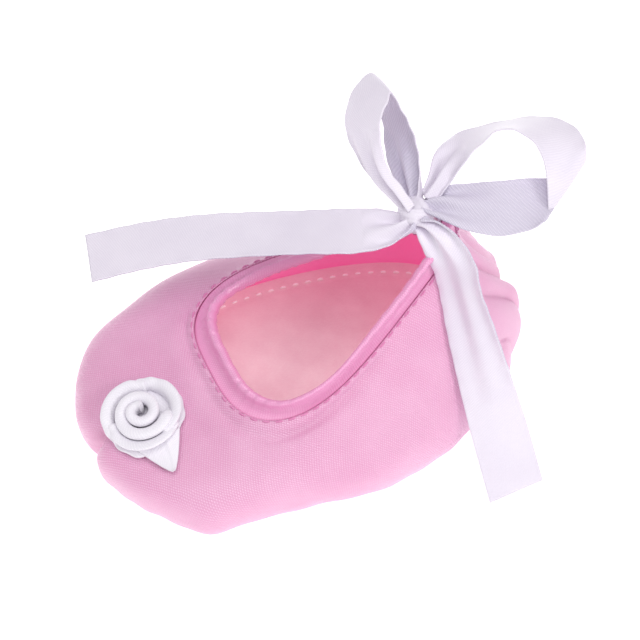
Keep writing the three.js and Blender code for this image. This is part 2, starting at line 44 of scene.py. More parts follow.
BULGE_Z = (13.0, 11.0, 10.0)
EDGE = dict(length=31.0, middle=5.5, toe=25.5, heel=10.6, shift=-1.2, roundness=0.62)
EDGE_FRONT_Z, EDGE_BACK_Z, EDGE_RISE_POWER = 24.0, 47.0, 1.6
SOLE_INSET, FLANGE_WIDTH = 6.0, 4.0
GAP = 0.3
OUTSOLE_THICKNESS = 1.2
OUTER_THICKNESS, LINING_THICKNESS = 0.9, 0.6
FOAM_THICKNESS, SOCK_THICKNESS = 2.4, 0.8
SOCK_STITCH_INSET = 3.5
CASING_WALL = 0.5
COLLAR_HEIGHT = 6.5
COLLAR_LEAN = (3.2, 2.0, 0.8)
CASING_OUTER_LEG, CASING_INNER_LEG = 3.0, 8.0
ELASTIC_WIDTH, ELASTIC_THICKNESS = 4.0, 0.7
RIBBON_WIDTH, RIBBON_THICKNESS = 12.7, 0.3
KNOT_CENTRE = np.array([27.1, -0.6, 53.0])
KNOT_RADII = np.array([3.8, 4.2, 4.4])
ROSE_RADIUS, ROSE_REACH = 9.0, 13.0
ROSE_PLACE = (-43.5, -5.5)
BACK_TAPE_WIDTH, BACK_TAPE_FROM, BACK_TAPE_TO = 6.0, 12.0, 28.0
ANCHOR_HALF_TURN, ANCHOR_LOW, ANCHOR_HIGH = 0.26, -1.0, 5.4
EDGE_STITCH = dict(pitch=3.0, length=2.1, radius=0.22)
HEM_STITCH = dict(pitch=3.0, length=2.2, radius=0.26, sink=-0.35)
SOCK_STITCH = dict(pitch=3.2, length=1.7, radius=0.28, sink=-0.05)
STITCH_BELOW_EDGE, STITCH_LIFT = 0.45, 0.22
HEM_STITCH_RISE, HEM_STITCH_LIFT = 2.4, 0.85

# ---------- camera and lamps, in metres ----------
CAMERA_PLACE, CAMERA_TARGET = (-0.1036, -0.2266, 0.3897), (0.0053, 0.0038, 0.0189)
CAMERA_LENS = 106.06
LAMP_TARGET = (0, 0, 0.02)
TOP_LIGHT = dict(place=(-0.08, -0.1, 0.85), size=0.6, power=2.5)
FRONT_LIGHT = dict(place=(0.28, -0.52, 0.6), size=0.3, power=1.7)
WORLD_STRENGTH = 0.6
FLOOR_HALF_WIDTH, FLOOR_GLOW = 1.5, 0.65

SOLE_Z = OUTSOLE_THICKNESS + GAP
LINING_DEPTH = OUTER_THICKNESS + GAP
FOAM_Z = SOLE_Z + LINING_DEPTH + LINING_THICKNESS + GAP
SOCK_Z = FOAM_Z + FOAM_THICKNESS + GAP
SOCK_TOP = SOCK_Z + SOCK_THICKNESS
CASING_DEPTH = OUTER_THICKNESS + GAP
LINING_TOP_DEPTH = CASING_DEPTH + CASING_WALL + GAP
CASING_INNER_DEPTH = LINING_TOP_DEPTH + LINING_THICKNESS + GAP

UP = np.array([0.0, 0.0, 1.0])
TURN = 2 * math.pi


# ---------- small maths ----------
def smooth(t):
    """Smooth step: three t squared minus two t cubed, held at 0 and 1."""
    t = np.clip(t, 0, 1)
    return t * t * (3 - 2 * t)


def unit(v):
    """Vectors scaled to length 1."""
    return v / np.maximum(np.linalg.norm(v, axis=-1, keepdims=True), 1e-9)


def bump(x, middle, width):
    """A bell curve round middle."""
    return np.exp(-((x - middle) / width) ** 2)


def apart(angle, middle):
    """The signed turn from middle to angle, between minus and plus half a turn."""
    return (angle - middle + math.pi) % TURN - math.pi


def around(angle, values):
    """A value known at the toe, the sides and the heel, joined by the square of the cosine."""
    toe, side, heel = values
    c = np.cos(angle)
    return side + (np.where(c > 0, toe, heel) - side) * c * c


def outline(angle, shape, grow=0.0):
    """Rounded egg seen from above: x follows the cosine, y a power of the sine."""
    c, s = np.cos(angle), np.sin(angle)
    half = shape["heel"] + (shape["toe"] - shape["heel"]) * smooth((1 + c) / 2) + grow
    x = shape["middle"] - (shape["length"] + grow) * c
    y = shape["shift"] + half * np.sign(s) * np.abs(s) ** shape["roundness"]
    return np.stack([x, y, 0 * x], -1)


def bezier(a, b, c, d, t):
    """Cubic curves from a to d pulled by b and c, for every station at once."""
    a, b, c, d = (q[:, None] for q in (a, b, c, d))
    t = t[None, :, None]
    return (1 - t) ** 3 * a + 3 * (1 - t) ** 2 * t * b + 3 * (1 - t) * t * t * c + t ** 3 * d


def hermite(values, slopes, knots, at):
    """Cubic pieces that meet the values and slopes at the knots."""
    k = np.clip(np.searchsorted(knots, at, side="right") - 1, 0, len(knots) - 2)
    span = (knots[k + 1] - knots[k])[:, None]
    u = ((at - knots[k]) / span[:, 0])[:, None]
    return ((2 * u ** 3 - 3 * u ** 2 + 1) * values[k] + (u ** 3 - 2 * u ** 2 + u) * span * slopes[k]
            + (3 * u ** 2 - 2 * u ** 3) * values[k + 1] + (u ** 3 - u ** 2) * span * slopes[k + 1])


# ---------- the upper's outer face ----------
class Upper:
    """Sections of the outer face at the given angles: flange, rounded side, rise to the edge."""

    def __init__(self, count):
        even = TURN * (np.arange(count) + 0.5) / count
        self.angle = even - 0.42 * np.sin(2 * even)
        a = self.angle
        bulge = outline(a, BULGE) + UP * around(a, BULGE_Z)[:, None]
        sole = outline(a, BULGE, -SOLE_INSET) + UP * SOLE_Z
        flange = outline(a, BULGE, -SOLE_INSET - FLANGE_WIDTH) + UP * SOLE_Z
        rise_share = (1 - np.cos(a)) / 2
        edge_z = EDGE_FRONT_Z + (EDGE_BACK_Z - EDGE_FRONT_Z) * rise_share ** EDGE_RISE_POWER
        self.edge = outline(a, EDGE) + UP * edge_z[:, None]
        out = unit((bulge - sole) * [1, 1, 0])
        self.inward = unit((self.edge - bulge) * [1, 1, 0])
        slope = np.radians(around(a, (14, 38, 76)))[:, None]
        rise = self.inward * np.cos(slope) + UP * np.sin(slope)
        low_pull = around(a, (6, 5, 5))[:, None]
        high_pull = around(a, (9, 9, 13))[:, None]
        edge_pull = around(a, (13, 9, 13))[:, None]
        under = flange[:, None] + (sole - flange)[:, None] * np.linspace(0, 1, 4)[None, :, None]
        low = bezier(sole, sole + out * 4, bulge - UP * low_pull, bulge, np.linspace(0, 1, 18))
        high = bezier(bulge, bulge + UP * high_pull, self.edge - rise * edge_pull, self.edge,
                      np.linspace(0, 1, 48))
        self.points = np.concatenate([under, low[:, 1:], high[:, 1:]], 1)
        up = np.gradient(self.points, axis=1)
        side = np.roll(self.points, -1, 0) - np.roll(self.points, 1, 0)
        self.normals = unit(np.cross(up, side))
        steps = np.linalg.norm(np.diff(self.points, axis=1), axis=-1)
        below = np.cumsum(steps[:, ::-1], axis=1)[:, ::-1]
        self.below = np.concatenate([below, 0 * below[:, :1]], 1)
        self.length = self.below[:, 0]
        self.collar_frame()

    def collar_frame(self):
        """Directions above the edge: up the collar, into the shoe, and the mitre between layers."""
        lean = around(self.angle, COLLAR_LEAN)[:, None]
        self.collar_up = unit(UP * COLLAR_HEIGHT + self.inward * lean)
        dot = (self.inward * self.collar_up).sum(-1, keepdims=True)
        self.collar_in = unit(self.inward - self.collar_up * dot)
        into = -self.normals[:, -1]
        self.mitre = (into + self.collar_in) / (1 + (into * self.collar_in).sum(-1, keepdims=True))

    def inside(self, distance, depth):
        """Points depth under the outer face, distance below the edge; both are (stations, rows)."""
        index = (self.below[:, None, :] > distance[:, :, None]).sum(-1) - 1
        index = np.clip(index, 0, self.points.shape[1] - 2)
        station = np.arange(len(self.angle))[:, None]
        high, low = self.below[station, index], self.below[station, index + 1]
        t = ((high - distance) / np.maximum(high - low, 1e-9))[..., None]
        at = self.points[station, index] * (1 - t) + self.points[station, index + 1] * t
        normal = unit(self.normals[station, index] * (1 - t) + self.normals[station, index + 1] * t)
        return at - normal * depth[..., None]

    def in_collar(self, depth, height):
        """Points in the standing collar, depth in from its front and height above the edge."""
        at = self.edge[:, None] + self.mitre[:, None] * depth[..., None]
        return at + self.collar_up[:, None] * height[..., None]


# ---------- meshes ----------
def quads(nu, nv, wrap_u, wrap_v):
    """Corner numbers of a grid's faces, joined round where it wraps."""
    i = np.arange(nu if wrap_u else nu - 1)[:, None]
    j = np.arange(nv if wrap_v else nv - 1)[None, :]
    ii, jj = (i + 1) % nu, (j + 1) % nv
    return np.stack([i * nv + j, ii * nv + j, ii * nv + jj, i * nv + jj], -1).reshape(-1, 4)


def corner_map(u, v, wrap_u, wrap_v):
    """Cloth coordinates of each face corner, from (nu + 1, nv + 1) tables that close the seam."""
    a, b = (slice(None, -1), slice(1, None))
    corners = [(a, a), (b, a), (b, b), (a, b)]
    return np.stack([np.stack([u[p], v[p]], -1) for p in corners], 2).reshape(-1, 2)


def build(name, points, faces, cloth):
    """A mesh object in metres from points in millimetres; cloth holds corner coordinates in mm."""
    volume = np.einsum("ij,ij->i", points[faces[:, 0]],
                       np.cross(points[faces[:, 1]], points[faces[:, 2]])
                       + np.cross(points[faces[:, 2]], points[faces[:, 3]])).sum()
    if volume < 0:
        faces = faces[:, ::-1]
        cloth = cloth.reshape(-1, 4, 2)[:, ::-1].reshape(-1, 2)
    mesh = bpy.data.meshes.new(name)
    mesh.vertices.add(len(points))
    mesh.vertices.foreach_set("co", (points * MM).astype(np.float32).ravel())
    mesh.loops.add(faces.size)
    mesh.loops.foreach_set("vertex_index", faces.astype(np.int32).ravel())
    mesh.polygons.add(len(faces))
    mesh.polygons.foreach_set("loop_start", np.arange(0, faces.size, 4, dtype=np.int32))
    mesh.polygons.foreach_set("use_smooth", np.full(len(faces), True))
    mesh.uv_layers.new(name="cloth").data.foreach_set("uv", cloth.astype(np.float32).ravel())
    mesh.update()
    mesh.validate()
    piece = bpy.data.objects.new(name, mesh)
    bpy.context.scene.collection.objects.link(piece)
    return piece


def lengths(points, axis):
    """Running length along one axis of a point table, starting at 0."""
    steps = np.linalg.norm(np.diff(points, axis=axis), axis=-1)
    shape = list(steps.shape)
    shape[axis] = 1
    return np.concatenate([np.zeros(shape), np.cumsum(steps, axis=axis)], axis)


def ring_piece(name, profiles):
    """A closed ring: one closed profile per station, (stations, profile points, 3)."""
    nu, nv = profiles.shape[:2]
    closed = np.concatenate([profiles, profiles[:1]], 0)
    closed = np.concatenate([closed, closed[:, :1]], 1)
    u = np.repeat(lengths(closed, 0).mean(1)[:, None], nv + 1, 1)
    v = np.repeat(lengths(closed, 1).mean(0)[None], nu + 1, 0)
    faces = quads(nu, nv, True, True)
    return build(name, profiles.reshape(-1, 3), faces, corner_map(u, v, True, True))


def strip_piece(name, front, back, across=None):
    """A strip with two faces, (steps, across, 3) each, closed round its edges and ends."""
    nu, nv = front.shape[:2]
    profiles = np.concatenate([front, back[:, ::-1]], 1)
    faces = quads(nu, 2 * nv, False, True)
    u = np.repeat(lengths(front, 0).mean(1)[:, None], 2 * nv + 1, 1)
    if across is None:
        across = lengths(front, 1).max(0)
    v = np.repeat(np.concatenate([across, across[::-1], across[:1]])[None], nu, 0)
    cloth = corner_map(u, v, False, True)
    k = np.arange(nv - 1)
    end = (nu - 1) * 2 * nv
    first = np.stack([k, k + 1, 2 * nv - 2 - k, 2 * nv - 1 - k], -1)
    last = first[:, ::-1] + end
    ends = np.concatenate([first, last])
    end_cloth = np.zeros((ends.size, 2))
    return build(name, profiles.reshape(-1, 3), np.concatenate([faces, ends]),
                 np.concatenate([cloth, end_cloth]))


def weld(piece):
    """Joins points that lie together, so that poles close."""
    mesh = bmesh.new()
    mesh.from_mesh(piece.data)
    bmesh.ops.remove_doubles(mesh, verts=mesh.verts, dist=2e-7)
    mesh.to_mesh(piece.data)
    mesh.free()
    return piece


def join_threads(name, bundles):
    """Many small closed tubes, (threads, steps, sides, 3), as one mesh with tipped ends."""
    count, steps, sides = bundles.shape[:3]
    grid = quads(steps, sides, False, True)
    offset = (np.arange(count) * steps * sides)[:, None, None]
    faces = (grid[None] + offset).reshape(-1, 4)
    u = np.repeat(np.arange(steps, dtype=float)[:, None], sides + 1, 1)
    v = np.repeat(np.arange(sides + 1, dtype=float)[None], steps, 0)
    cloth = np.tile(corner_map(u, v, False, True), (count, 1))
    return weld(build(name, bundles.reshape(-1, 3), faces, cloth))


def stitch_line(name, path, normals, pitch, length, radius, sink=0.0):
    """Separate stitches along a path: each is a slim capsule that dips into the cloth at its ends."""
    total = lengths(path[:, None], 0)[-1, 0]
    count = int(total / pitch)
    table = lengths(path[:, None], 0)[:, 0]
    steps, sides = 7, 6
    start = np.arange(count)[:, None] * pitch
    share = np.linspace(0, 1, steps)[None]
    at = start + share * length
    place = np.stack([np.interp(at, table, path[:, k]) for k in range(3)], -1)
    lift = unit(np.stack([np.interp(at, table, normals[:, k]) for k in range(3)], -1))
    forward = unit(np.gradient(place, axis=1))
    side = np.cross(forward, lift)
    arch = np.sin(math.pi * share) ** 0.5
    place = place + lift * ((arch - 1) * radius * 1.6 - sink)[..., None]
    turn = TURN * np.arange(sides) / sides
    rim = (side[:, :, None] * np.cos(turn)[None, None, :, None]
           + lift[:, :, None] * np.sin(turn)[None, None, :, None])
    thickness = radius * np.sin(math.pi * np.clip(share, 0.0, 1.0)) ** 0.35
    thickness = np.where((share < 1e-6) | (share > 1 - 1e-6), 1e-5, thickness)
    return join_threads(name, place[:, :, None] + rim * thickness[..., None, None])


def closed_path(points):
    """The points with the first one again at the end."""
    return np.concatenate([points, points[:1]], 0)


# ---------- camera, light and floor ----------
def aim(thing, place, target):
    """Turns a camera or lamp at place towards target, both in metres."""
    thing.location = place
    thing.rotation_euler = (Vector(target) - Vector(place)).to_track_quat("-Z", "Y").to_euler()


def make_camera():
    lens = bpy.data.cameras.new("camera")
    lens.lens = CAMERA_LENS
    lens.clip_start, lens.clip_end = 0.01, 10
    camera = bpy.data.objects.new("camera", lens)
    bpy.context.scene.collection.objects.link(camera)
    aim(camera, CAMERA_PLACE, CAMERA_TARGET)
    bpy.context.scene.camera = camera


def soft_lamp(name, place, size, power):
    """A round lamp of the given size and power, pointed at the shoe."""
    lamp = bpy.data.lights.new(name, "AREA")
    lamp.shape = "DISK"
    lamp.size, lamp.energy = size, power
    holder = bpy.data.objects.new(name, lamp)
    bpy.context.scene.collection.objects.link(holder)
    aim(holder, place, LAMP_TARGET)


def make_studio():
    world = bpy.data.worlds.new("studio")
    world.use_nodes = True
    world.node_tree.nodes["Background"].inputs["Color"].default_value = (1, 0.985, 1, 1)
    world.node_tree.nodes["Background"].inputs["Strength"].default_value = WORLD_STRENGTH
    bpy.context.scene.world = world
    bpy.context.scene.view_settings.view_transform = "Standard"
    soft_lamp("top_light", **TOP_LIGHT)
    soft_lamp("front_light", **FRONT_LIGHT)
    side = FLOOR_HALF_WIDTH
    floor_mesh = bpy.data.meshes.new("floor")
    floor_mesh.from_pydata([(-side, -side, 0), (side, -side, 0), (side, side, 0), (-side, side, 0)],
                           [], [(0, 1, 2, 3)])
    floor = bpy.data.objects.new("floor", floor_mesh)
    bpy.context.scene.collection.objects.link(floor)
    floor.data.materials.append(plain_material("floor_white", (0.93, 0.93, 0.93), 0.9, glow=FLOOR_GLOW))


# ---------- shader groups ----------
def colour(r, g, b):
    """A colour from 0 to 255 sRGB values, as Blender's linear colour."""
    c = np.array([r, g, b]) / 255
    linear = np.where(c <= 0.04045, c / 12.92, ((c + 0.055) / 1.055) ** 2.4)
    return (*linear.tolist(), 1.0)


def plain_material(name, rgb, roughness, glow=0.0):
    material = bpy.data.materials.new(name)
    material.use_nodes = True
    shader = material.node_tree.nodes["Principled BSDF"]
    shader.inputs["Base Color"].default_value = (*rgb, 1)
    shader.inputs["Roughness"].default_value = roughness
    shader.inputs["Specular IOR Level"].default_value = 0.1
    shader.inputs["Emission Color"].default_value = (1, 1, 1, 1)
    shader.inputs["Emission Strength"].default_value = glow
    return material


def connect(tree, value, socket):
    """Links value to the socket if it is a socket too, and sets it there if it is a number."""
    if isinstance(value, bpy.types.NodeSocket):
        tree.links.new(value, socket)
    else:
        socket.default_value = value


class Group:
    """A shader node group being put together."""

    def __init__(self, name, inputs, outputs):
        self.tree = bpy.data.node_groups.new(name, "ShaderNodeTree")
        for label, kind, value in inputs:
            socket = self.tree.interface.new_socket(name=label, in_out="INPUT", socket_type=kind)
            if value is not None:
                socket.default_value = value
        for label, kind in outputs:
            self.tree.interface.new_socket(name=label, in_out="OUTPUT", socket_type=kind)
        self.source = self.tree.nodes.new("NodeGroupInput").outputs
        self.sink = self.tree.nodes.new("NodeGroupOutput").inputs

    def join(self, value, socket):
        connect(self.tree, value, socket)

    def maths(self, operation, *values, clamp=False):
        node = self.tree.nodes.new("ShaderNodeMath")
        node.operation = operation
        node.use_clamp = clamp
        for value, socket in zip(values, node.inputs):
            self.join(value, socket)
        return node.outputs[0]

    def noise(self, vector, scale, detail=2.0, roughness=0.5):
        node = self.tree.nodes.new("ShaderNodeTexNoise")
        self.join(vector, node.inputs["Vector"])
        self.join(scale, node.inputs["Scale"])
        node.inputs["Detail"].default_value = detail
        node.inputs["Roughness"].default_value = roughness
        return node.outputs["Fac"]

    def parts(self, vector):
        node = self.tree.nodes.new("ShaderNodeSeparateXYZ")
        self.join(vector, node.inputs[0])
        return node.outputs

    def wave(self, value):
        """A smooth wave from 0 to 1, one per unit of value."""
        turn = self.maths("MULTIPLY", value, TURN)
        return self.maths("MULTIPLY_ADD", self.maths("SINE", turn), 0.5, 0.5)


def twill_group():
    """Diagonal ribs crossed by fine threads, with the ribs wandering a little as woven cloth does."""
    g = Group("twill_weave",
              [("Cloth", "NodeSocketVector", None), ("Rib Pitch", "NodeSocketFloat", 0.5),
               ("Thread Pitch", "NodeSocketFloat", 0.3), ("Slant", "NodeSocketFloat", 1.0)],
              [("Height", "NodeSocketFloat"), ("Thread", "NodeSocketFloat")])
    cloth = g.source["Cloth"]
    u, v, _ = g.parts(cloth)
    drift = g.maths("MULTIPLY_ADD", g.noise(cloth, 0.35), 0.8, -0.4)
    across = g.maths("ADD", g.maths("MULTIPLY_ADD", v, g.source["Slant"], u), drift)
    rib = g.wave(g.maths("DIVIDE", g.maths("MULTIPLY", across, 0.7071), g.source["Rib Pitch"]))
    warp = g.maths("MULTIPLY_ADD", v, -0.55, u)
    thread = g.wave(g.maths("DIVIDE", warp, g.source["Thread Pitch"]))
    fibre = g.noise(cloth, 9.0, 3.0)
    crossing = g.maths("MULTIPLY", rib, thread)
    height = g.maths("MULTIPLY_ADD", rib, 0.35, g.maths("MULTIPLY", crossing, 0.6))
    g.join(g.maths("MULTIPLY_ADD", fibre, 0.25, height), g.sink["Height"])
    # Thread tone, lighter where rib and thread cross: partly the weave's pattern, partly painted
    # highlight on the raised threads.
    g.join(g.maths("MULTIPLY_ADD", crossing, 0.6, g.maths("MULTIPLY", fibre, 0.5)), g.sink["Thread"])
    return g.tree


def brushed_group():
    """Short soft fibres lying mostly one way, with paler rubbed patches."""
    g = Group("brushed_nap", [("Cloth", "NodeSocketVector", None)],
              [("Height", "NodeSocketFloat"), ("Patch", "NodeSocketFloat")])
    stretch = g.tree.nodes.new("ShaderNodeMapping")
    stretch.inputs["Scale"].default_value = (0.35, 1.4, 1.0)
    stretch.inputs["Rotation"].default_value = (0, 0, 0.5)
    g.join(g.source["Cloth"], stretch.inputs["Vector"])
    fibre = g.noise(stretch.outputs[0], 3.2, 4.0, 0.65)
    fluff = g.noise(g.source["Cloth"], 6.0, 3.0, 0.6)
    g.join(g.maths("MULTIPLY_ADD", fibre, 0.6, g.maths("MULTIPLY", fluff, 0.5)), g.sink["Height"])
    patch = g.noise(g.source["Cloth"], 0.13, 3.0)
    blotch = g.maths("MULTIPLY_ADD", fluff, 0.6, g.maths("MULTIPLY_ADD", patch, 1.3, -0.45))
    g.join(g.maths("MULTIPLY_ADD", fibre, 0.8, g.maths("SUBTRACT", blotch, 0.4), clamp=True),
           g.sink["Patch"])
    return g.tree


def shade_group():
    """Broad uneven dye over the whole shoe, on its own coordinates in metres."""
    g = Group("dye_variation", [("Place", "NodeSocketVector", None)], [("Patch", "NodeSocketFloat")])
    broad = g.noise(g.source["Place"], 38.0, 2.0)
    small = g.noise(g.source["Place"], 160.0, 3.0)
    mix = g.maths("MULTIPLY_ADD", broad, 0.7, g.maths("MULTIPLY", small, 0.3))
    g.join(g.maths("SUBTRACT", g.maths("MULTIPLY", mix, 2.0), 0.5, clamp=True), g.sink["Patch"])
    return g.tree


class Cloth:
    """A woven or brushed material: its colours, a weave group and the shader's own values."""

    def __init__(self, name, low, high, roughness, sheen=0.0, sheen_tint=(1, 1, 1, 1), shine=0.5,
                 anisotropy=0.0, glow=None, glow_strength=0.1):
        self.material = bpy.data.materials.new(name)
        self.material.use_nodes = True
        self.tree = self.material.node_tree
        self.shader = self.tree.nodes["Principled BSDF"]
        self.low, self.high, self.roughness = low, high, roughness
        self.shader.inputs["Sheen Weight"].default_value = sheen
        self.shader.inputs["Sheen Tint"].default_value = sheen_tint
        self.shader.inputs["Sheen Roughness"].default_value = 0.4
        self.shader.inputs["Specular IOR Level"].default_value = shine
        self.shader.inputs["Anisotropic"].default_value = anisotropy
        # Emission is painted light: a cloth given a glow brightens its own shade, though it is no lamp.
        if glow is not None:
            self.shader.inputs["Emission Color"].default_value = glow
            self.shader.inputs["Emission Strength"].default_value = glow_strength
        self.coords = self.tree.nodes.new("ShaderNodeTexCoord")
        self.uv = self.tree.nodes.new("ShaderNodeUVMap")
        self.uv.uv_map = "cloth"

    def node(self, kind, **inputs):
        node = self.tree.nodes.new(kind)
        for name, value in inputs.items():
            self.put(value, node.inputs[name.replace("_", " ")])
        return node

    def put(self, value, socket):
        connect(self.tree, value, socket)

    def group(self, tree, **inputs):
        node = self.tree.nodes.new("ShaderNodeGroup")
        node.node_tree = tree
        for name, value in inputs.items():
            self.put(value, node.inputs[name.replace("_", " ")])
        return node

    def blend(self, share, first, second):
        node = self.tree.nodes.new("ShaderNodeMix")
        node.data_type = "RGBA"
        self.put(share, node.inputs["Factor"])
        self.put(first, node.inputs["A"])
        self.put(second, node.inputs["B"])
        return node.outputs["Result"]

    def span(self, value, low, high):
        node = self.tree.nodes.new("ShaderNodeMapRange")
        self.put(value, node.inputs["Value"])
        node.inputs["To Min"].default_value = low
        node.inputs["To Max"].default_value = high
        return node.outputs["Result"]

    def bump(self, height, strength, distance):
        node = self.node("ShaderNodeBump", Height=height, Strength=strength, Distance=distance)
        self.put(node.outputs["Normal"], self.shader.inputs["Normal"])

    def finish(self, tone, height, strength, depth_mm, rough_span=0.08):
        self.put(self.blend(tone, self.low, self.high), self.shader.inputs["Base Color"])
        rough = self.span(tone, self.roughness + rough_span, self.roughness - rough_span)
        self.put(rough, self.shader.inputs["Roughness"])
        self.bump(height, strength, depth_mm * MM)
        return self.material


def woven(name, low, high, roughness, rib, thread, strength, depth_mm, slant=1.0, dye=0.5, **finish):
    """Twill cloth: dye patches and the ribs' tone (weave pattern plus painted highlight), with the ribs
    standing up.
    """
    cloth = Cloth(name, low, high, roughness, **finish)
    twill = cloth.group(TWILL, Cloth=cloth.uv.outputs[0], Rib_Pitch=rib, Thread_Pitch=thread,
                        Slant=slant)
    patches = cloth.group(SHADE, Place=cloth.coords.outputs["Object"])
    tone = cloth.node("ShaderNodeMix", Factor=dye, A=twill.outputs["Thread"],
                      B=patches.outputs["Patch"])
    return cloth.finish(tone.outputs["Result"], twill.outputs["Height"], strength, depth_mm)


def brushed(name, low, high, roughness, strength, depth_mm, **finish):
    """Brushed cloth or suede: paler rubbed patches and a soft nap."""
    cloth = Cloth(name, low, high, roughness, **finish)
    nap = cloth.group(BRUSHED, Cloth=cloth.uv.outputs[0])
    return cloth.finish(nap.outputs["Patch"], nap.outputs["Height"], strength, depth_mm)


# ---------- the shoe's body ----------
def relief(points, turn, below, reach):
    """How far the padded satin stands out from the plain surface, in mm.

    turn is degrees round from the toe (near side negative), below the distance under the edge and
    reach the distance from the edge to the sole seam. Valleys and puffs are bell curves; the heel
    gathers are a rounded saw across the back."""
    x, y = points[..., 0], points[..., 1]
    share = 1 - below / reach
    dart_fade = smooth((0.5 - share) / 0.12) * smooth(share / 0.08)
    dart = dart_fade * (1.0 * bump(y, 5, 5) + 0.9 * bump(y, -8, 3.5) - 3.0 * bump(y, -2.8, 1.9))
    ridge_width = 1.2 + 2.2 * bump(turn, -52, 32)
    ridge_fade = smooth((turn + 112) / 18) * smooth((40 - turn) / 20)
    slope = 0.8 + 1.8 * bump(turn, -52, 34)
    ridge = 0.45 * smooth((ridge_width + 0.4 - below) / slope + 0.5)
    ridge = ridge - 0.5 * bump(below, ridge_width + 0.7, 0.75 * slope)
    puff = 0.55 * bump(below, ridge_width + 4.5, 2.6) * (1 - 0.9 * bump(turn, -62, 20))
    hollow = -0.9 * bump(below, ridge_width + 3.0, 1.7) * bump(turn, -64, 18)
    topline = ridge_fade * (ridge + puff + hollow)
    fold = y / 7.2 + 0.4 * np.sin(y / 5.3 + 0.8) + 0.3 * np.sin(below / 8)
    folds = 2.0 * (np.abs(np.sin(math.pi * fold)) ** 0.6 - 0.6)
    at_heel = smooth((x - 34) / 9) * smooth(share / 0.14) * smooth((1.02 - share) / 0.25)
    angle = np.radians(turn)
    sole_pucker = 0.16 * np.sin(34 * angle + 2 * np.sin(3 * angle)) * bump(share, 0.1, 0.12)
    side_fullness = 4.9 * bump(x, 15, 26) * smooth(-y / 12) * bump(share, 0.22, 0.25)
    corner = 3.2 * bump(x, -38, 7) * smooth(-y / 12) * bump(share, 0.22, 0.2)
    drape = 0.3 * np.sin(x / 6.1 + 1) * np.sin(y / 7.3 + 0.4) + 0.16 * np.sin(x / 3.7 + y / 4.9 + 2)
    drape = drape * smooth(share / 0.2) * smooth(below / 5)
    fullness = side_fullness + corner
    return dart + topline + folds * at_heel + sole_pucker + drape + fullness


def degrees_round(upper):
    """Each section's turn from the toe in degrees, near side negative, as a column."""
    return np.degrees(apart(upper.angle, 0))[:, None]


def flat_cut(upper, points, below):
    """Where each point lay in the flat cloth: out from the throat line by its distance below it."""
    out = -upper.inward[:, None, :2]
    return upper.edge[:, None, :2] + out * below[..., None]


def shell_piece(name, outer, inner, cloth, round_length=0.0):
    """A closed ring from an outer and an inner face that share rows, with cloth coordinates.

    round_length is how much the first cloth coordinate grows in one turn."""
    profiles = np.concatenate([outer, inner[:, ::-1]], 1)
    table = np.concatenate([cloth, cloth[:, ::-1]], 1)
    table = np.concatenate([table, table[:1] + [round_length, 0]], 0)
    table = np.concatenate([table, table[:, :1]], 1)
    nu, nv = profiles.shape[:2]
    faces = quads(nu, nv, True, True)
    corners = corner_map(table[..., 0], table[..., 1], True, True)
    return build(name, profiles.reshape(-1, 3), faces, corners)


def make_upper(upper):
    """The satin outer: the section rows pushed out by the relief, with a softly rolled top edge."""
    points, below = upper.points, upper.below
    reach = (upper.length - FLANGE_WIDTH)[:, None]
    out = relief(points, degrees_round(upper), below, reach)[..., None]
    outer = points + upper.normals * out
    wall = OUTER_THICKNESS * (0.35 + 0.65 * smooth(below / 1.2))[..., None]
    inner = points + upper.normals * (np.minimum(out, 0) - wall)
    return shell_piece("upper_satin", outer, inner, flat_cut(upper, points, below))


def lining_depth(distance):
    """The lining steps inward near the top to leave room for the casing's outer leg."""
    t = 1 - np.clip((distance - CASING_OUTER_LEG - 1) / 4, 0, 1)
    return LINING_DEPTH + (LINING_TOP_DEPTH - LINING_DEPTH) * smooth(t)


def make_lining(upper):
    """The inner fabric: the same sections set inside, gently rumpled between collar and sock."""
    rows = np.linspace(0, 1, 52)[None]
    below = 0.6 + rows * (upper.length[:, None] - 1.2)
    turn = degrees_round(upper)
    level = upper.inside(below, 0 * below)
    dent = np.minimum(relief(level, turn, below, upper.length[:, None] - FLANGE_WIDTH), 0)
    outer = upper.inside(below, lining_depth(below) - dent)
    rumple = 0.18 * np.sin(turn / 4.1 + below / 3.3) + 0.14 * np.sin(turn / 2.3 - below / 5.1)
    rumple = rumple * smooth((below - 7) / 4) * smooth((upper.length[:, None] - 14 - below) / 4)
    depth = lining_depth(below) - dent + LINING_THICKNESS
    inner = upper.inside(below, depth + 0.25 * rumple + 0.1)
    return shell_piece("lining_cloth", outer, inner, flat_cut(upper, outer, below))


def collar_sway(turn):
    """Extra lean of the collar, in mm at its top: in at the near front corner and along the far
    side, out along the near side."""
    front = 1.2 * bump(turn, -30, 22) - 1.1 * bump(turn, -70, 20) + 3.4 * bump(turn, 62, 44)
    return front - 2.6 * bump(turn, -122, 34) + 0.2 * np.sin(8 * np.radians(turn) + 1)


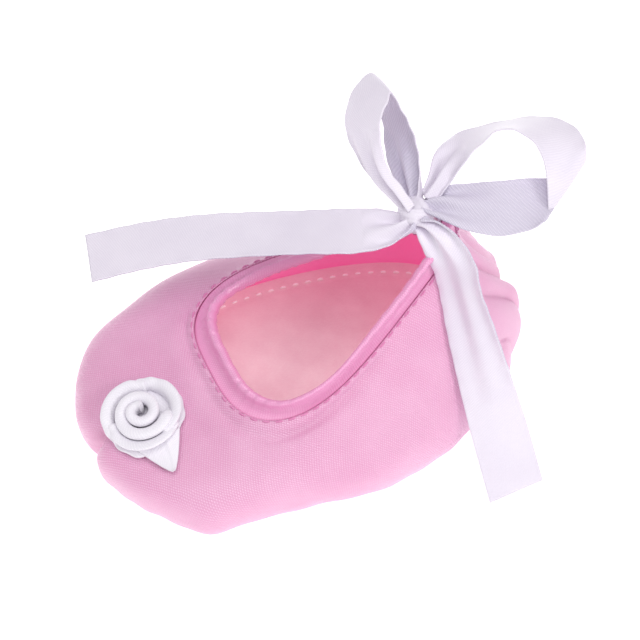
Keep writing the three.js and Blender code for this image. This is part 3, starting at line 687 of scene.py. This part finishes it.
def make_collar(upper):
    """The elastic's casing: a folded band whose wall centre goes up, over a rolled top and down.

    Each row is (depth, height) in the collar's frame; the wall stands half its thickness either
    side. The band is pinched under its rolled top and gathered in small ripples."""
    turn = degrees_round(upper)
    arc = lengths(closed_path(upper.edge)[:, None], 0)
    middle = (CASING_DEPTH + CASING_INNER_DEPTH + CASING_WALL) / 2
    radius = middle - CASING_DEPTH
    straight = COLLAR_HEIGHT - radius
    rise = np.linspace(0, 1, 18)[None]
    angle = np.radians(turn)
    ripple = 0.13 * np.sin(58 * angle + 3 * np.sin(5 * angle)) + 0.07 * np.sin(113 * angle)
    pinch = 0.55 * np.sin(math.pi * rise) ** 1.4
    swell = 0.22 * bump(rise, 0.94, 0.12)

    def face(wall):
        """One side of the folded band: wall 0 is the outside, 1 the inside of the fold."""
        inset = wall * CASING_WALL
        hidden = np.array([[CASING_OUTER_LEG, CASING_OUTER_LEG * 0.55, 0.4]])
        tucked = upper.inside(hidden + 0 * turn, CASING_DEPTH + inset + 0 * hidden + 0 * turn)
        depth = CASING_DEPTH - 0.75 * (1 - rise) ** 3 + pinch - swell + inset + ripple * rise
        front = sway(depth, straight * rise + 0 * turn)
        bend = math.pi * (np.arange(9) + 1)[None] / 10
        r = radius + 0.22 - inset
        over = sway(middle - r * np.cos(bend) + ripple, straight + r * np.sin(bend) + 0 * turn)
        fall = rise[:, ::-1]
        back = CASING_INNER_DEPTH + CASING_WALL - 0.4 * np.sin(math.pi * fall) - inset + ripple * fall
        inner = sway(back, straight * fall + 0 * turn)
        legs = np.linspace(0.5, CASING_INNER_LEG, 26)[None]
        hem = 0.8 * smooth((legs - CASING_INNER_LEG + 4.4) / 0.6)
        depth = CASING_INNER_DEPTH + CASING_WALL - inset + (hem + 0.3 * ripple) * (1 - wall)
        leg = upper.inside(legs + 0 * turn, depth + 0 * turn)
        return np.concatenate([tucked, front, over, inner, leg], 1)

    def sway(depth, height):
        lean = collar_sway(turn) * (height / COLLAR_HEIGHT) ** 1.3
        return upper.in_collar(depth + lean, height - 0.3 * np.maximum(lean, 0))

    outer, inner = face(0.0), face(1.0)
    along = arc[:-1] + 0 * outer[..., 0]
    cloth = np.stack([along, lengths(outer, 1)], -1)
    return shell_piece("collar_band", outer, inner, cloth, arc[-1, 0])


def make_elastic(upper):
    """The flat elastic inside the casing, with its long edges rounded."""
    middle = (CASING_DEPTH + CASING_INNER_DEPTH + CASING_WALL) / 2
    top = COLLAR_HEIGHT - CASING_WALL - GAP - ELASTIC_THICKNESS / 2 - 0.3
    turn = TURN * np.arange(16)[None] / 16
    flat = np.sign(np.sin(turn)) * np.abs(np.sin(turn)) ** 0.35
    depth = middle + 0.45 * ELASTIC_THICKNESS * np.cos(turn) + 0 * upper.angle[:, None]
    height = top - ELASTIC_WIDTH / 2 + 0.49 * ELASTIC_WIDTH * flat + 0 * upper.angle[:, None]
    lean = collar_sway(degrees_round(upper)) * (height / COLLAR_HEIGHT) ** 1.3
    height = height - 0.3 * np.maximum(lean, 0)
    return ring_piece("elastic_band", upper.in_collar(depth + lean, height))


# ---------- sole, foam and sock ----------
def pad(name, upper, grow, low, high, soft, top_relief=None):
    """A flat pad: rings shrink from the outline to the centre over the top and the bottom.

    The side is a half round of radius soft; top_relief lifts the top by a function of x and y."""
    rim = outline(upper.angle, BULGE, -SOLE_INSET + grow - soft)
    out = np.cross(unit(np.roll(rim, -1, 0) - np.roll(rim, 1, 0)), UP)
    out = out * np.sign((out * (rim - rim.mean(0))).sum(-1, keepdims=True))
    spread = np.linspace(0, 1, 34) ** 0.8
    disc = rim[:, None] * spread[None, :, None]
    top = disc + UP * high
    if top_relief is not None:
        top = top + UP * top_relief(disc[..., 0], disc[..., 1], spread[None])[..., None]
    bend = np.linspace(0, math.pi, 9)[1:-1][None, :, None]
    side = (rim[:, None] + out[:, None] * soft * np.sin(bend)
            + UP * ((high + low) / 2 + (high - low) / 2 * np.cos(bend)))
    bottom = disc[:, ::-1] + UP * low
    profiles = np.concatenate([top, side, bottom], 1)
    nu, nv = profiles.shape[:2]
    table = np.concatenate([profiles[..., :2], profiles[:1, :, :2]], 0)
    faces = quads(nu, nv, True, False)
    return weld(build(name, profiles.reshape(-1, 3), faces,
                      corner_map(table[..., 0], table[..., 1], True, False)))


def sock_relief(x, y, spread):
    """The sock lies a little unevenly and dips where its seam pulls it down."""
    wave = 0.16 * np.sin(x / 8.3 + 1) * np.sin(y / 6.1) + 0.1 * np.sin(x / 4.7 - y / 5.9)
    return wave * smooth((1 - spread) / 0.1) - 0.25 * bump(spread, 0.885, 0.022)


# ---------- ribbons ----------
def edge_curve(stops, side, t):
    """One woven edge of a ribbon: a smooth curve through its stops, timed by the ribbon's middle."""
    stops = np.asarray(stops, float)
    middle = stops.mean(1)
    knots = np.concatenate([[0], np.cumsum(np.linalg.norm(np.diff(middle, axis=0), axis=1) ** 0.6)])
    slopes = np.gradient(stops[:, side], knots, axis=0)
    return hermite(stops[:, side], slopes, knots, t * knots[-1])


def pleats(share, chord, folds, phase):
    """Pleats across a gathered ribbon, in mm: a sine whose extra length makes up the full width."""
    squeezed = np.clip(chord / RIBBON_WIDTH, 0.35, 1)
    slope = np.sqrt(2 * (1 / squeezed ** 2 - 1))
    height = slope * squeezed * RIBBON_WIDTH / (TURN * folds)
    return height[:, None] * np.sin(TURN * folds * share[None] / 2 + phase)


def make_ribbon(name, stops, folds=2.0, phase=0.6, cup=0.3, steps=170):
    """A satin ribbon between its two edges, whose stops are offsets from the knot's centre.

    Across it the cloth is pleated where its edges come together, cupped a little elsewhere, and its
    woven edges are slightly thicker and scalloped."""
    t = np.linspace(0, 1, steps)
    low, high = (KNOT_CENTRE + edge_curve(stops, side, t) for side in (0, 1))
    wide = high - low
    chord = np.linalg.norm(wide, axis=1)
    forward = np.gradient((low + high) / 2, axis=0)
    face = unit(np.cross(forward, wide))
    share = np.linspace(-1, 1, 41)
    lift = pleats(share, chord, folds, phase)
    lift = lift + cup * np.sin(t * 9 + phase)[:, None] * (1 - share ** 2)[None]
    lift = lift + 0.1 * np.sin(t * 85)[:, None] * bump(np.abs(share), 1, 0.15)[None]
    middle = (low + high)[:, None] / 2 + wide[:, None] * (share[None, :, None] / 2)
    middle = middle + face[:, None] * lift[..., None]
    normal = unit(np.cross(np.gradient(middle, axis=0), np.gradient(middle, axis=1)))
    selvedge = RIBBON_THICKNESS / 2 * (1 + 0.5 * bump(np.abs(share), 0.95, 0.04))[None, :, None]
    across = RIBBON_WIDTH / 2 * share
    piece = strip_piece(name, middle + normal * selvedge, middle - normal * selvedge, across)
    two_sides(piece, steps, len(share))
    return piece


def two_sides(piece, steps, across):
    """Gives the front faces of a strip the first material and the back faces the second."""
    column = np.arange(2 * across)
    back = (column >= across - 1).astype(np.int32)
    index = np.concatenate([np.tile(back, steps - 1), np.zeros(2 * (across - 1), np.int32)])
    if len(index) == len(piece.data.polygons):
        piece.data.polygons.foreach_set("material_index", index)


TAIL_LEFT = [
    ((-1.1, -0.7, -0.5), (-1.9, -3.7, 1.7)), ((-3.1, 1.4, -0.6), (-4.4, -4.7, 1.1)),
    ((-5.7, 4.6, -0.9), (-8.9, -5.3, -0.2)), ((-10.4, 8.8, -2.4), (-15.5, -3.1, -1.6)),
    ((-21.1, 16.6, -6.3), (-26.6, 4.8, -5.4)), ((-41, 29.1, -11.5), (-47.4, 17.9, -12)),
    ((-53.6, 35.5, -15.1), (-58.7, 23.7, -16.2)), ((-66, 40.7, -19), (-69.3, 28.2, -20.3))]
TAIL_RIGHT = [
    ((-0.7, -2, -0.2), (-0.5, -3.9, 3.4)), ((-1.5, -4.8, -0.8), (2.4, -6.5, 3.7)),
    ((-1.2, -7.1, -3.6), (4.7, -11.2, 3)), ((0, -9.2, -8.4), (6.3, -16.8, -1.1)),
    ((0.4, -12.5, -13.6), (6.1, -20.8, -6.5)), ((-0.5, -18.7, -20.9), (7.3, -25.4, -14.2)),
    ((-1.5, -27.1, -29.7), (8.6, -32.4, -24.7)), ((-2.7, -37.1, -38.4), (10, -39.9, -36.4)),
    ((-3, -48.9, -51.3), (10.1, -50.2, -48.2))]
LOOP_LEFT = [
    ((-1.7, 0.4, 0.5), (-1.4, -0.8, 4.4)), ((-4.2, 4.3, 2.5), (-2.9, 2.3, 7.9)),
    ((-6.7, 9.8, 4.4), (-4.6, 5.6, 11.4)), ((-7.6, 16.4, 7.1), (-4.7, 8.7, 14.5)),
    ((-7.1, 21.9, 9.6), (-3.4, 12.5, 17.2)), ((-4.6, 26.2, 12.6), (-1.7, 15.2, 18.5)),
    ((-0.3, 29.5, 14.5), (0.9, 17.5, 19.6)), ((3.9, 31, 14.3), (2.8, 19.3, 20.1)),
    ((5.1, 29.6, 11.5), (4, 17.8, 17)), ((4, 26.1, 7.1), (5, 15.3, 14)),
    ((2.9, 22.1, 4), (5.4, 11.9, 11.1)), ((1.6, 18, 1.7), (5.1, 8.8, 8.4)),
    ((0.8, 12.9, 0.6), (3.9, 5.5, 6.1)), ((1.2, 8.1, 0.2), (2.5, 3, 4.1)),
    ((0.9, 3.6, -0.5), (1, 0.9, 2.6))]
LOOP_RIGHT = [
    ((0.6, -2.2, 2.7), (2.7, 1.3, 1.3)), ((2.5, -5.1, 3.1), (7, 1.7, 3.6)),
    ((5.9, -9.7, 2.9), (12.1, -0.2, 4.7)), ((12.9, -14.5, 2.1), (18.8, -4, 6.6)),
    ((18.5, -17, 3.6), (25.1, -6.3, 6.8)), ((22, -17.8, 5.4), (31.8, -9.1, 7)),
    ((24.4, -16.1, 5.1), (35.7, -11, 11.5)), ((25.3, -14, 7.6), (37.4, -8.5, 13.8)),
    ((26.7, -9.9, 11.7), (38.5, -3.9, 13.3)), ((27.1, -5.8, 14.7), (38.5, 1.1, 11.3)),
    ((26.1, -1.7, 15.7), (36, 5.6, 9.8)), ((24, 1.4, 15.8), (32, 8.9, 8.2)),
    ((21.1, 3.1, 15.1), (27.1, 11.2, 6.7)), ((17.2, 2.8, 12.8), (21.4, 12.9, 5.7)),
    ((13.2, 2.2, 10.3), (15.3, 13.2, 5.1)), ((9.7, 1.7, 6.8), (10, 11, 4.4)),
    ((6.6, 0.5, 5.1), (6.9, 6.6, 3.2)), ((3.3, -0.5, 3.5), (3.9, 3.1, 1.4))]


def make_knot():
    """The wound knot: a soft box of powers of cosines, grooved where one turn passes over another."""
    lat = np.linspace(-math.pi / 2, math.pi / 2, 61)[:, None]
    turn = TURN * np.arange(96)[None] / 96

    def soft(v):
        return np.sign(v) * np.abs(v) ** 0.8

    shape = np.stack([soft(np.cos(lat)) * soft(np.cos(turn)), soft(np.cos(lat)) * soft(np.sin(turn)),
                      soft(np.sin(lat)) + 0 * turn], -1)
    band = unit(np.array([0.75, 0.35, -0.55]))
    along = shape @ band
    across = shape @ unit(np.cross(band, [0.2, -0.9, 0.6]))
    wrap = smooth((0.55 - np.abs(across)) / 0.12)
    pleats = 0.06 * np.abs(np.sin(7.5 * across + 0.6 * along)) ** 0.6
    twist = 0.07 * np.abs(np.sin(6 * along + 2.2 * across + 0.5)) ** 0.7
    size = 0.86 + wrap * (0.1 + pleats) + (1 - wrap) * twist
    points = (KNOT_CENTRE + shape * KNOT_RADII * size[..., None]).transpose(1, 0, 2)
    closed = np.concatenate([points, points[:1]], 0)
    u, v = np.linspace(0, 26, closed.shape[0])[:, None], np.linspace(0, 13, 61)[None]
    faces = quads(points.shape[0], points.shape[1], True, False)
    cloth = corner_map(u + 0 * v, v + 0 * u, True, False)
    return weld(build("knot_wrap", points.reshape(-1, 3), faces, cloth))


def make_anchor(upper):
    """The ribbon's sewn-down middle: a short double strip on the inside of the collar's back."""
    heel = np.linspace(math.pi - ANCHOR_HALF_TURN, math.pi + ANCHOR_HALF_TURN, 25)
    spot = np.searchsorted(upper.angle, heel)
    every = 0 * upper.angle[:, None]
    rows = np.linspace(ANCHOR_LOW, ANCHOR_HIGH, 12)
    depth = CASING_INNER_DEPTH + CASING_WALL + 0.1
    waves = 0.12 * np.sin(rows * 2.1)[None]
    front = upper.in_collar(depth + 0.85 + waves + every, rows[None] + every)
    back = upper.in_collar(depth + 0 * waves + every, rows[None] + every)
    return strip_piece("ribbon_middle", front[spot], back[spot])


def make_back_tape(upper):
    """A narrow woven tape over the seam inside the heel."""
    heel = np.argmin(np.abs(upper.angle - math.pi))
    below = np.linspace(BACK_TAPE_FROM, BACK_TAPE_TO, 30) + 0 * upper.angle[:, None]
    depth = LINING_DEPTH + LINING_THICKNESS + 0.5
    middle = upper.inside(below, depth + 0 * below)[heel]
    across = np.linspace(-BACK_TAPE_WIDTH / 2, BACK_TAPE_WIDTH / 2, 15)
    bow = -0.1 * across[None] ** 2 / 3
    line = middle[:, None] + np.array([0, 1.0, 0]) * across[None, :, None]
    line = line + np.array([1.0, 0, 0]) * bow[..., None]
    return strip_piece("seam_tape", line - np.array([0.45, 0, 0]), line)


# ---------- ribbon rose ----------
class ToeSeat:
    """The patch of toe under the rose: its middle, its directions and how it curves away."""

    def __init__(self, upper):
        points = upper.points[:, 21:].reshape(-1, 3)
        normals = upper.normals[:, 21:].reshape(-1, 3)
        best = np.argmin(np.hypot(points[:, 0] - ROSE_PLACE[0], points[:, 1] - ROSE_PLACE[1]))
        self.middle, self.normal = points[best], normals[best]
        self.x = unit(np.array([1.0, 0, 0]) - self.normal * self.normal[0])
        self.y = np.cross(self.normal, self.x)
        local = (points - self.middle) @ np.stack([self.x, self.y, self.normal], 1)
        near = local[(np.hypot(local[:, 0], local[:, 1]) < ROSE_REACH) & (local[:, 2] > -7)]
        terms = np.stack([near[:, 0] ** 2, near[:, 1] ** 2, near[:, 0] * near[:, 1]], 1)
        self.curve = np.linalg.lstsq(terms, near[:, 2], rcond=None)[0]

    def place(self, points):
        """Bends points made on a level table over the toe and stands them on it."""
        a, b, c = points[..., 0], points[..., 1], points[..., 2]
        sag = self.curve[0] * a ** 2 + self.curve[1] * b ** 2 + self.curve[2] * a * b
        height = (c + sag + 0.75)[..., None]
        return self.middle + self.x * a[..., None] + self.y * b[..., None] + self.normal * height


def folded_band(name, seat, turns, radius_at, low_at, high_at, lean_at, thick_at, steps=140):
    """A folded ribbon standing on edge along a spiral, leaning out, with a full round fold on top.

    turns is (from, to) in turns; the other functions give, along it from 0 to 1, the spiral's radius,
    the bottom and top heights, the outward lean of the top and the thickness of the fold."""
    t = np.linspace(0, 1, steps)
    angle = TURN * (turns[0] + (turns[1] - turns[0]) * t)
    out = np.stack([np.cos(angle), np.sin(angle), 0 * t], -1)
    base = out * radius_at(t)[:, None]
    low, high = low_at(t), high_at(t)
    thick, lean = thick_at(t), lean_at(t)
    row = TURN * np.arange(36) / 36
    upward = 0.5 - 0.5 * np.cos(row)
    sideways = np.sin(row) * (0.35 + 0.65 * upward ** 1.2)
    pucker = 0.1 * np.sin(26 * t + 3 * np.sin(7 * t))[:, None] * upward[None]
    height = low[:, None] + (high - low)[:, None] * upward[None] + pucker
    shift = thick[:, None] / 2 * sideways[None] + lean[:, None] * upward[None] ** 1.5 + 0.6 * pucker
    points = base[:, None] + out[:, None] * shift[..., None] + UP * height[..., None]
    taper = np.minimum(1, np.minimum(t, 1 - t) / 0.03)[:, None, None] ** 0.5
    core = points.mean(1, keepdims=True)
    points = seat.place(core + (points - core) * np.maximum(taper, 1e-4))
    nu, nv = points.shape[:2]
    closed = np.concatenate([points, points[:, :1]], 1)
    u = np.repeat(lengths(points, 0).mean(1)[:, None], nv + 1, 1)
    v = np.repeat(lengths(closed, 1).mean(0)[None], nu, 0)
    return weld(build(name, points.reshape(-1, 3), quads(nu, nv, False, True),
                      corner_map(u, v, False, True)))


def make_rose_base(seat):
    """A round pad of folded ribbon under the rose, its rim turned under."""
    angle = TURN * np.arange(72)[:, None] / 72
    row = np.linspace(0, 1, 16)[None]
    bend = np.linspace(0, math.pi, 7)[None, 1:-1]
    radius = ROSE_RADIUS * (1 + 0.04 * np.sin(3 * angle + 1) + 0.02 * np.sin(11 * angle))
    swell = radius + 0.4 * np.sin(bend)

    def rings(distance, height):
        return np.stack([distance * np.cos(angle), distance * np.sin(angle), height + 0 * distance], -1)

    top = rings(radius * row, 0.9)
    side = rings(swell, 0.45 + 0.45 * np.cos(bend))
    under = rings(radius * row[:, ::-1], 0)
    level = np.concatenate([top, side, under], 1)
    table = np.concatenate([level[..., :2], level[:1, :, :2]], 0)
    nu, nv = level.shape[:2]
    return weld(build("rose_pad", seat.place(level).reshape(-1, 3), quads(nu, nv, True, False),
                      corner_map(table[..., 0], table[..., 1], True, False)))


def make_rose_coil(seat):
    """The heart: the folded ribbon rolled round itself, lowest and loosest at its outer end."""
    return folded_band(
        "rose_heart", seat, (0.1, 1.95),
        radius_at=lambda t: 0.6 + 4.65 * t ** 0.9 + 0.3 * np.sin(9 * t), low_at=lambda t: 0.9 + 0 * t,
        high_at=lambda t: 5.3 - 1.1 * t, lean_at=lambda t: 0.2 + 0.9 * t,
        thick_at=lambda t: 3.1 + 1.2 * t, steps=220)


def make_petal(seat, index):
    """One outer petal: a wide fold lying outwards, overlapping the next one round."""
    start = (0.16, 0.47, 0.80)[index]
    return folded_band(
        f"rose_fold_{index + 1}", seat, (start, start + 0.42),
        radius_at=lambda t: 6.3 + 0.9 * t, low_at=lambda t: 0.7 + 0 * t,
        high_at=lambda t: 3.4 + 0.9 * np.sin(math.pi * t) - 0.6 * t,
        lean_at=lambda t: 1.1 + 1.3 * np.sin(math.pi * t), thick_at=lambda t: 3.0 + 0 * t)


def make_rose_tail(seat):
    """The ribbon's end, folded to a point below the rose."""
    t = np.linspace(0, 1, 40)
    half = 5.2 * (1 - t) ** 0.8 + 0.25
    share = np.linspace(-1, 1, 25)
    x = 0.8 + half[:, None] * share[None]
    y = -7.0 - 8.4 * t[:, None] + 0 * share[None]
    crease = 0.5 * smooth((share - 0.15) / 0.2)[None] * (1 - t)[:, None]
    z = 1.4 - 1.1 * t[:, None] + crease + 0.25 * (1 - share ** 2)[None]
    level = np.stack([x, y, z], -1)
    front = seat.place(level)
    back = seat.place(level - UP * 0.4)
    return strip_piece("rose_point", front, back)


# ---------- putting it together ----------
def belongs(piece, body, node, slot, *materials):
    """The piece rides on its body in place of its CAD node, with its materials. The slot argument is
    not used.
    """
    for material in materials:
        piece.data.materials.append(material)
    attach(piece, body)
    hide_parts(node)


make_camera()
make_studio()
TWILL, BRUSHED, SHADE = twill_group(), brushed_group(), shade_group()

pink_satin = woven("pink_satin", colour(202, 104, 160), colour(255, 216, 240), 0.27, 0.5, 0.62, 0.9,
                   0.1, dye=0.2, sheen=0.32, sheen_tint=colour(255, 210, 236), shine=0.8,
                   anisotropy=0.5)
# The collar's faint pink emission is painted light that warms the shade on its inner face.
collar_satin = woven("collar_satin", colour(208, 116, 170), colour(250, 198, 228), 0.24, 0.5, 0.62,
                     0.5, 0.06, dye=0.3, sheen=0.4, sheen_tint=colour(255, 220, 240), shine=0.9,
                     anisotropy=0.6, glow=colour(255, 130, 190), glow_strength=0.06)
# The lining's pink emission is painted light that lifts the shaded inside of the shoe to a bright hot
# pink.
lining_cloth = woven("lining_cloth", colour(250, 150, 200), colour(255, 190, 224), 0.7, 0.45, 0.3,
                     0.6, 0.06, sheen=0.2, shine=0.2, glow=colour(255, 125, 188),
                     glow_strength=0.2)
# The sock's emission is painted light that brightens it down in the shade inside the shoe.
sock_cloth = brushed("sock_cloth", colour(224, 186, 197), colour(240, 222, 223), 0.9, 0.7, 0.12,
                     sheen=0.35, sheen_tint=colour(255, 225, 225), shine=0.1,
                     glow=colour(255, 226, 228),
                     glow_strength=0.12)
suede = brushed("suede", colour(196, 142, 160), colour(222, 176, 188), 0.95, 0.8, 0.15, sheen=0.2,
                shine=0.1)
foam_white = brushed("foam_white", colour(238, 228, 208), colour(246, 240, 226), 0.95, 0.9, 0.2)
elastic_white = woven("elastic_white", colour(228, 222, 226), colour(246, 242, 246), 0.85, 0.9, 0.7,
                      0.9, 0.15, slant=0.0)
pink_thread = woven("pink_thread", colour(210, 116, 170), colour(242, 172, 210), 0.6, 0.9, 0.5, 0.6,
                    0.05, shine=0.3)
# The white thread's emission is painted light that keeps the sock stitches paler than the shaded sock.
white_thread = woven("white_thread", colour(232, 214, 220), colour(250, 244, 246), 0.6, 0.9, 0.5,
                     0.6, 0.05, shine=0.3, glow=colour(255, 235, 235), glow_strength=0.2)
ribbon_satin = woven("ribbon_satin", colour(212, 204, 220), colour(246, 240, 249), 0.38, 0.42, 0.4,
                     0.6, 0.05, dye=0.4, slant=0.6, sheen=0.15, shine=0.5, anisotropy=0.4)
rose_satin = woven("rose_satin", colour(224, 219, 230), colour(250, 247, 252), 0.36, 0.46, 0.42,
                   0.8, 0.07, dye=0.35, slant=0.5, sheen=0.2, shine=0.5)
ribbon_back = woven("ribbon_back", colour(190, 182, 202), colour(236, 231, 243), 0.6, 0.62, 0.42,
                    0.9, 0.08, dye=0.2, sheen=0.15, shine=0.3)

upper = Upper(360)
outer = make_upper(upper)
belongs(outer, "shoe", "upper_outer", "pink_satin", pink_satin)
lining = make_lining(upper)
belongs(lining, "shoe", "upper_lining", "lining", lining_cloth)
collar = make_collar(upper)
belongs(collar, "shoe", "collar_casing", "pink_satin", collar_satin)
elastic = make_elastic(upper)
belongs(elastic, "shoe", "collar_elastic", "elastic", elastic_white)

outsole = pad("outsole_suede", upper, 0.0, 0.0, OUTSOLE_THICKNESS, 0.45)
belongs(outsole, "shoe", "outsole", "suede", suede)
foam = pad("foam_pad", upper, -1.0, FOAM_Z, FOAM_Z + FOAM_THICKNESS, 0.8)
belongs(foam, "shoe", "midsole_foam", "foam", foam_white)
sock = pad("sock_top", upper, -0.4, SOCK_Z, SOCK_TOP, 0.4, sock_relief)
belongs(sock, "shoe", "insole_sock", "sock_fabric", sock_cloth)

turn = degrees_round(upper)
stitch_depth = STITCH_BELOW_EDGE + 0 * turn
level = upper.inside(stitch_depth, 0 * stitch_depth)
puffed = relief(level, turn, stitch_depth, upper.length[:, None] - FLANGE_WIDTH)
on_top = upper.inside(stitch_depth, -STITCH_LIFT - puffed)[:, 0]
top_stitches = stitch_line("edge_stitches", closed_path(on_top), closed_path(upper.normals[:, -1]),
                           **EDGE_STITCH)
belongs(top_stitches, "shoe", "edge_stitching", "pink_thread", pink_thread)
hem_below = CASING_INNER_LEG - HEM_STITCH_RISE + 0 * turn
on_hem = upper.inside(hem_below, CASING_INNER_DEPTH + CASING_WALL + HEM_STITCH_LIFT + 0 * turn)[:, 0]
hem_stitches = stitch_line("hem_stitches", closed_path(on_hem), closed_path(-upper.normals[:, -8]),
                           **HEM_STITCH)
belongs(hem_stitches, "shoe", "casing_stitching", "pink_thread", pink_thread)
on_sock = outline(upper.angle, BULGE, -SOLE_INSET - SOCK_STITCH_INSET) + UP * (SOCK_TOP + 0.05)
sock_stitches = stitch_line("sock_stitches", closed_path(on_sock), closed_path(0 * on_sock + UP),
                            **SOCK_STITCH)
belongs(sock_stitches, "shoe", "insole_stitching", "white_thread", white_thread)

knot = make_knot()
belongs(knot, "shoe", "bow_knot", "white_ribbon", ribbon_satin)
middle = make_anchor(upper)
belongs(middle, "shoe", "ribbon_anchor", "white_ribbon", ribbon_satin)
tape = make_back_tape(upper)
belongs(tape, "shoe", "back_seam_tape", "lining", lining_cloth)
for side, stops in (("left", LOOP_LEFT), ("right", LOOP_RIGHT)):
    loop = make_ribbon(f"{side}_loop", stops)
    belongs(loop, f"loop_{side}", f"bow_loop_{side}", "white_ribbon", ribbon_back, ribbon_satin)
for side, stops in (("left", TAIL_LEFT), ("right", TAIL_RIGHT)):
    tail = make_ribbon(f"{side}_tail", stops)
    belongs(tail, f"tail_{side}", f"bow_tail_{side}", "white_ribbon", ribbon_satin, ribbon_back)

seat = ToeSeat(upper)
belongs(make_rose_base(seat), "shoe", "rose_base", "white_ribbon", rose_satin)
belongs(make_rose_coil(seat), "shoe", "rose_coil", "white_ribbon", rose_satin)
for index in range(3):
    belongs(make_petal(seat, index), "shoe", f"rose_petal_{index + 1}", "white_ribbon", rose_satin)
belongs(make_rose_tail(seat), "shoe", "rose_tail", "white_ribbon", rose_satin)
